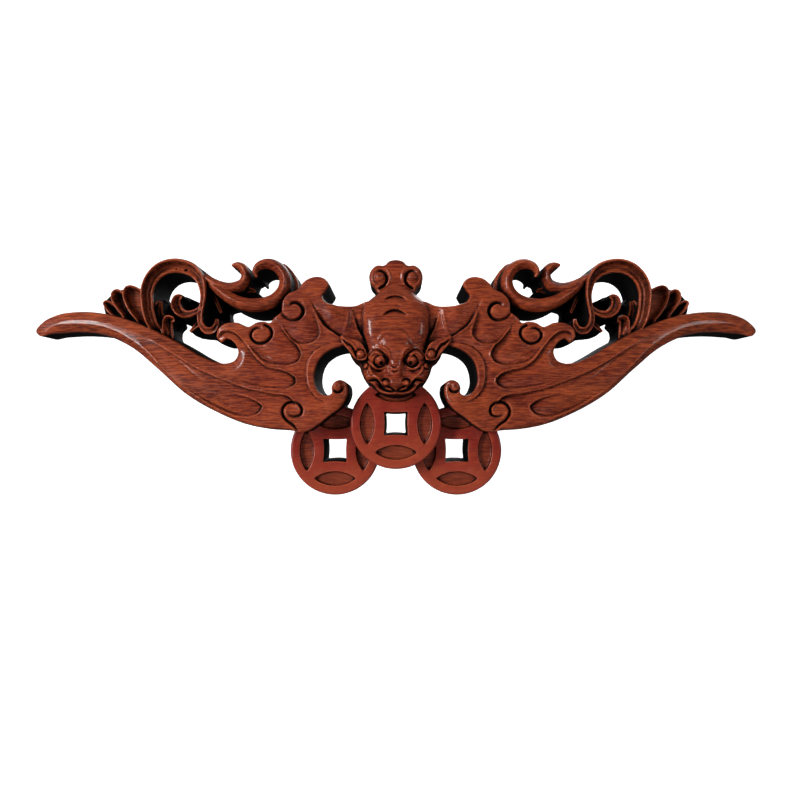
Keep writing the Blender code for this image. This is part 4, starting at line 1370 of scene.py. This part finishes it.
    def store(self, piece: bpy.types.Object, masks: tuple[np.ndarray, np.ndarray]) -> None:
        """Writes the masks of dark stain with painted shade, and of worn edges with painted highlights, on
        the piece.

        Args:
            piece: The planed piece.
            masks: Points of the fused mesh, and their dark stain with painted shade, worn edges with painted
                highlights and painted light, and depth.
        """
        tree = KDTree(len(masks[0]))
        for index, point in enumerate(masks[0]):
            tree.insert(point, index)
        tree.balance()
        mesh = piece.data
        co = read(mesh.vertices, "co")
        stain_and_shade, wear_and_highlight, drop = masks[1][[tree.find(point)[1] for point in co]].T
        corners = read(mesh.loops, "vertex_index", 1, np.int32).reshape(-1, 3)
        facing = read(mesh.polygons, "normal")[:, 1]
        red = self.coins.cover(co)[0]
        # Dark stain and painted shade on wall faces that lie well below a face next to them.
        needed = np.where(red[corners].max(axis=1) > 0, 0.8, 1.7)
        wall = ease(0.5, 0.33, np.abs(facing)) * np.clip(drop[corners].max(axis=1) / needed - 1, 0, 1)
        warm = np.maximum(red, self.ruddy * ease(0.12, 0.05, np.abs(co[:, 0])))
        # The dark mask carries stain and painted shade; the light one carries worn wood, painted highlights
        # and painted light.
        for name, domain, values in (
            ("wear_and_highlight", "POINT", wear_and_highlight), ("red", "POINT", warm),
            ("stain_and_shade", "CORNER", np.maximum(stain_and_shade[corners], wall[:, None]).ravel()),
            ("rear", "CORNER", np.repeat(facing > 0.9, 3)),
        ):
            mesh.attributes.new(name, "FLOAT", domain).data.foreach_set("value", values.astype(np.float32))
        select_only(piece)
        bpy.ops.object.shade_smooth_by_angle(angle=self.crease_angle)


@dataclass(frozen=True)
class Lamp:
    """A soft light that looks at the panel's middle, in metres and watts."""

    name: str
    place: Row
    size: Row
    power: float
    unseen_by: tuple[str, ...] = ()

    def build(self) -> None:
        """Hangs the light."""
        data = bpy.data.lights.new(self.name, "AREA")
        data.shape = "RECTANGLE"
        data.size, data.size_y = self.size
        data.energy = self.power
        lamp = bpy.data.objects.new(self.name, data)
        lamp.location = x, y, z = self.place
        lamp.rotation_euler = (math.atan2(math.hypot(x, y), z), 0, math.atan2(x, -y))
        for rays in self.unseen_by:
            setattr(lamp, "visible_" + rays, False)
        bpy.context.scene.collection.objects.link(lamp)


@dataclass(frozen=True)
class Studio:
    """Camera, pale sweep and soft lights."""

    lens: float = 27.0
    distance: float = 0.348
    eye_z: float = -0.0511
    shift: Row = (0.005, 0.0225)
    floor_z: float = -0.30
    wall_y: float = 0.55
    wall_height: float = 2.4
    bend: float = 0.25
    glow: float = 0.85
    dimmed: float = 0.10
    lamps: tuple[Lamp, ...] = (
        Lamp("key", (-0.78, -0.6, 0.14), (0.2, 0.6), 6.6),
        Lamp("front", (0.1, -0.85, -0.5), (0.9, 0.4), 5.6, ("glossy",)),
        Lamp("high", (-0.2, -0.6, 0.8), (0.6, 0.4), 1.0, ("glossy",)),
        Lamp("fill", (0.85, -0.75, 0.15), (0.12, 0.5), 1.4),
        Lamp("behind", (0.2, 0.5, 0.35), (0.5, 0.5), 3, ("camera",)),
    )

    def camera(self) -> None:
        """Sets the camera where the photograph was taken from."""
        data = bpy.data.cameras.new("camera")
        data.lens = self.lens
        data.sensor_width = 36
        data.shift_x, data.shift_y = self.shift
        data.clip_start = 0.01
        camera = bpy.data.objects.new("camera", data)
        camera.location = (0, -self.distance, self.eye_z)
        camera.rotation_euler = (math.pi / 2, 0, 0)
        bpy.context.scene.collection.objects.link(camera)
        bpy.context.scene.camera = camera

    def sweep(self) -> None:
        """Makes the pale floor, which curves up into a wall."""
        bpy.ops.object.select_all(action="DESELECT")
        bpy.ops.mesh.primitive_plane_add(size=1, location=(0, self.wall_y - 2, self.floor_z))
        floor = bpy.context.active_object
        floor.name = "sweep"
        floor.scale = (6, 4, 1)
        bpy.ops.object.transform_apply(location=True, rotation=True, scale=True)
        bpy.ops.object.mode_set(mode="EDIT")
        back = self.wall_y - 0.01
        pick_edges(floor, lambda place: place.y > back)
        bpy.ops.mesh.extrude_region_move(TRANSFORM_OT_translate={"value": (0, 0, self.wall_height)})
        pick_edges(floor, lambda place: place.y > back and place.z < self.floor_z + 0.01)
        bpy.ops.mesh.bevel(offset=self.bend, segments=16, profile=0.5)
        bpy.ops.object.mode_set(mode="OBJECT")
        bpy.ops.object.shade_smooth()
        sheet = NodeSheet(bpy.data.materials.new("pale_sweep"))
        sheet.dress({
            "Base Color": (0.93, 0.93, 0.93, 1), "Roughness": 0.9,
            "Emission Color": (1, 1, 1, 1), "Emission Strength": self.glow,
        })
        floor.data.materials.append(sheet.owner)
        floor.visible_diffuse = floor.visible_glossy = False

    def build(self) -> None:
        """Sets up camera, sweep, lights and the surrounding light, which only the camera sees in full."""
        self.camera()
        self.sweep()
        for lamp in self.lamps:
            lamp.build()
        bpy.context.scene.view_settings.view_transform = "Standard"
        sheet = NodeSheet(bpy.data.worlds.new("studio"), "Background")
        seen = sheet.add("ShaderNodeLightPath", {}, {}, "Is Camera Ray")
        power = sheet.add("ShaderNodeMapRange", {}, {"Value": seen, "To Min": self.dimmed})
        sheet.dress({"Color": (0.95, 0.97, 1, 1), "Strength": power})
        bpy.context.scene.world = sheet.owner


def main() -> None:
    """Builds the panel and its studio."""
    piece = Panel().build()
    piece.data.materials.clear()
    piece.data.materials.append(LacqueredTimber().make())
    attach(piece, "root")
    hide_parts("carved_bat_panel")
    LOG.info("%s: %d faces", piece.name, len(piece.data.polygons))
    Studio().build()
    LOG.info("Studio: camera, sweep and lights")


if __name__ == "__main__":
    main()
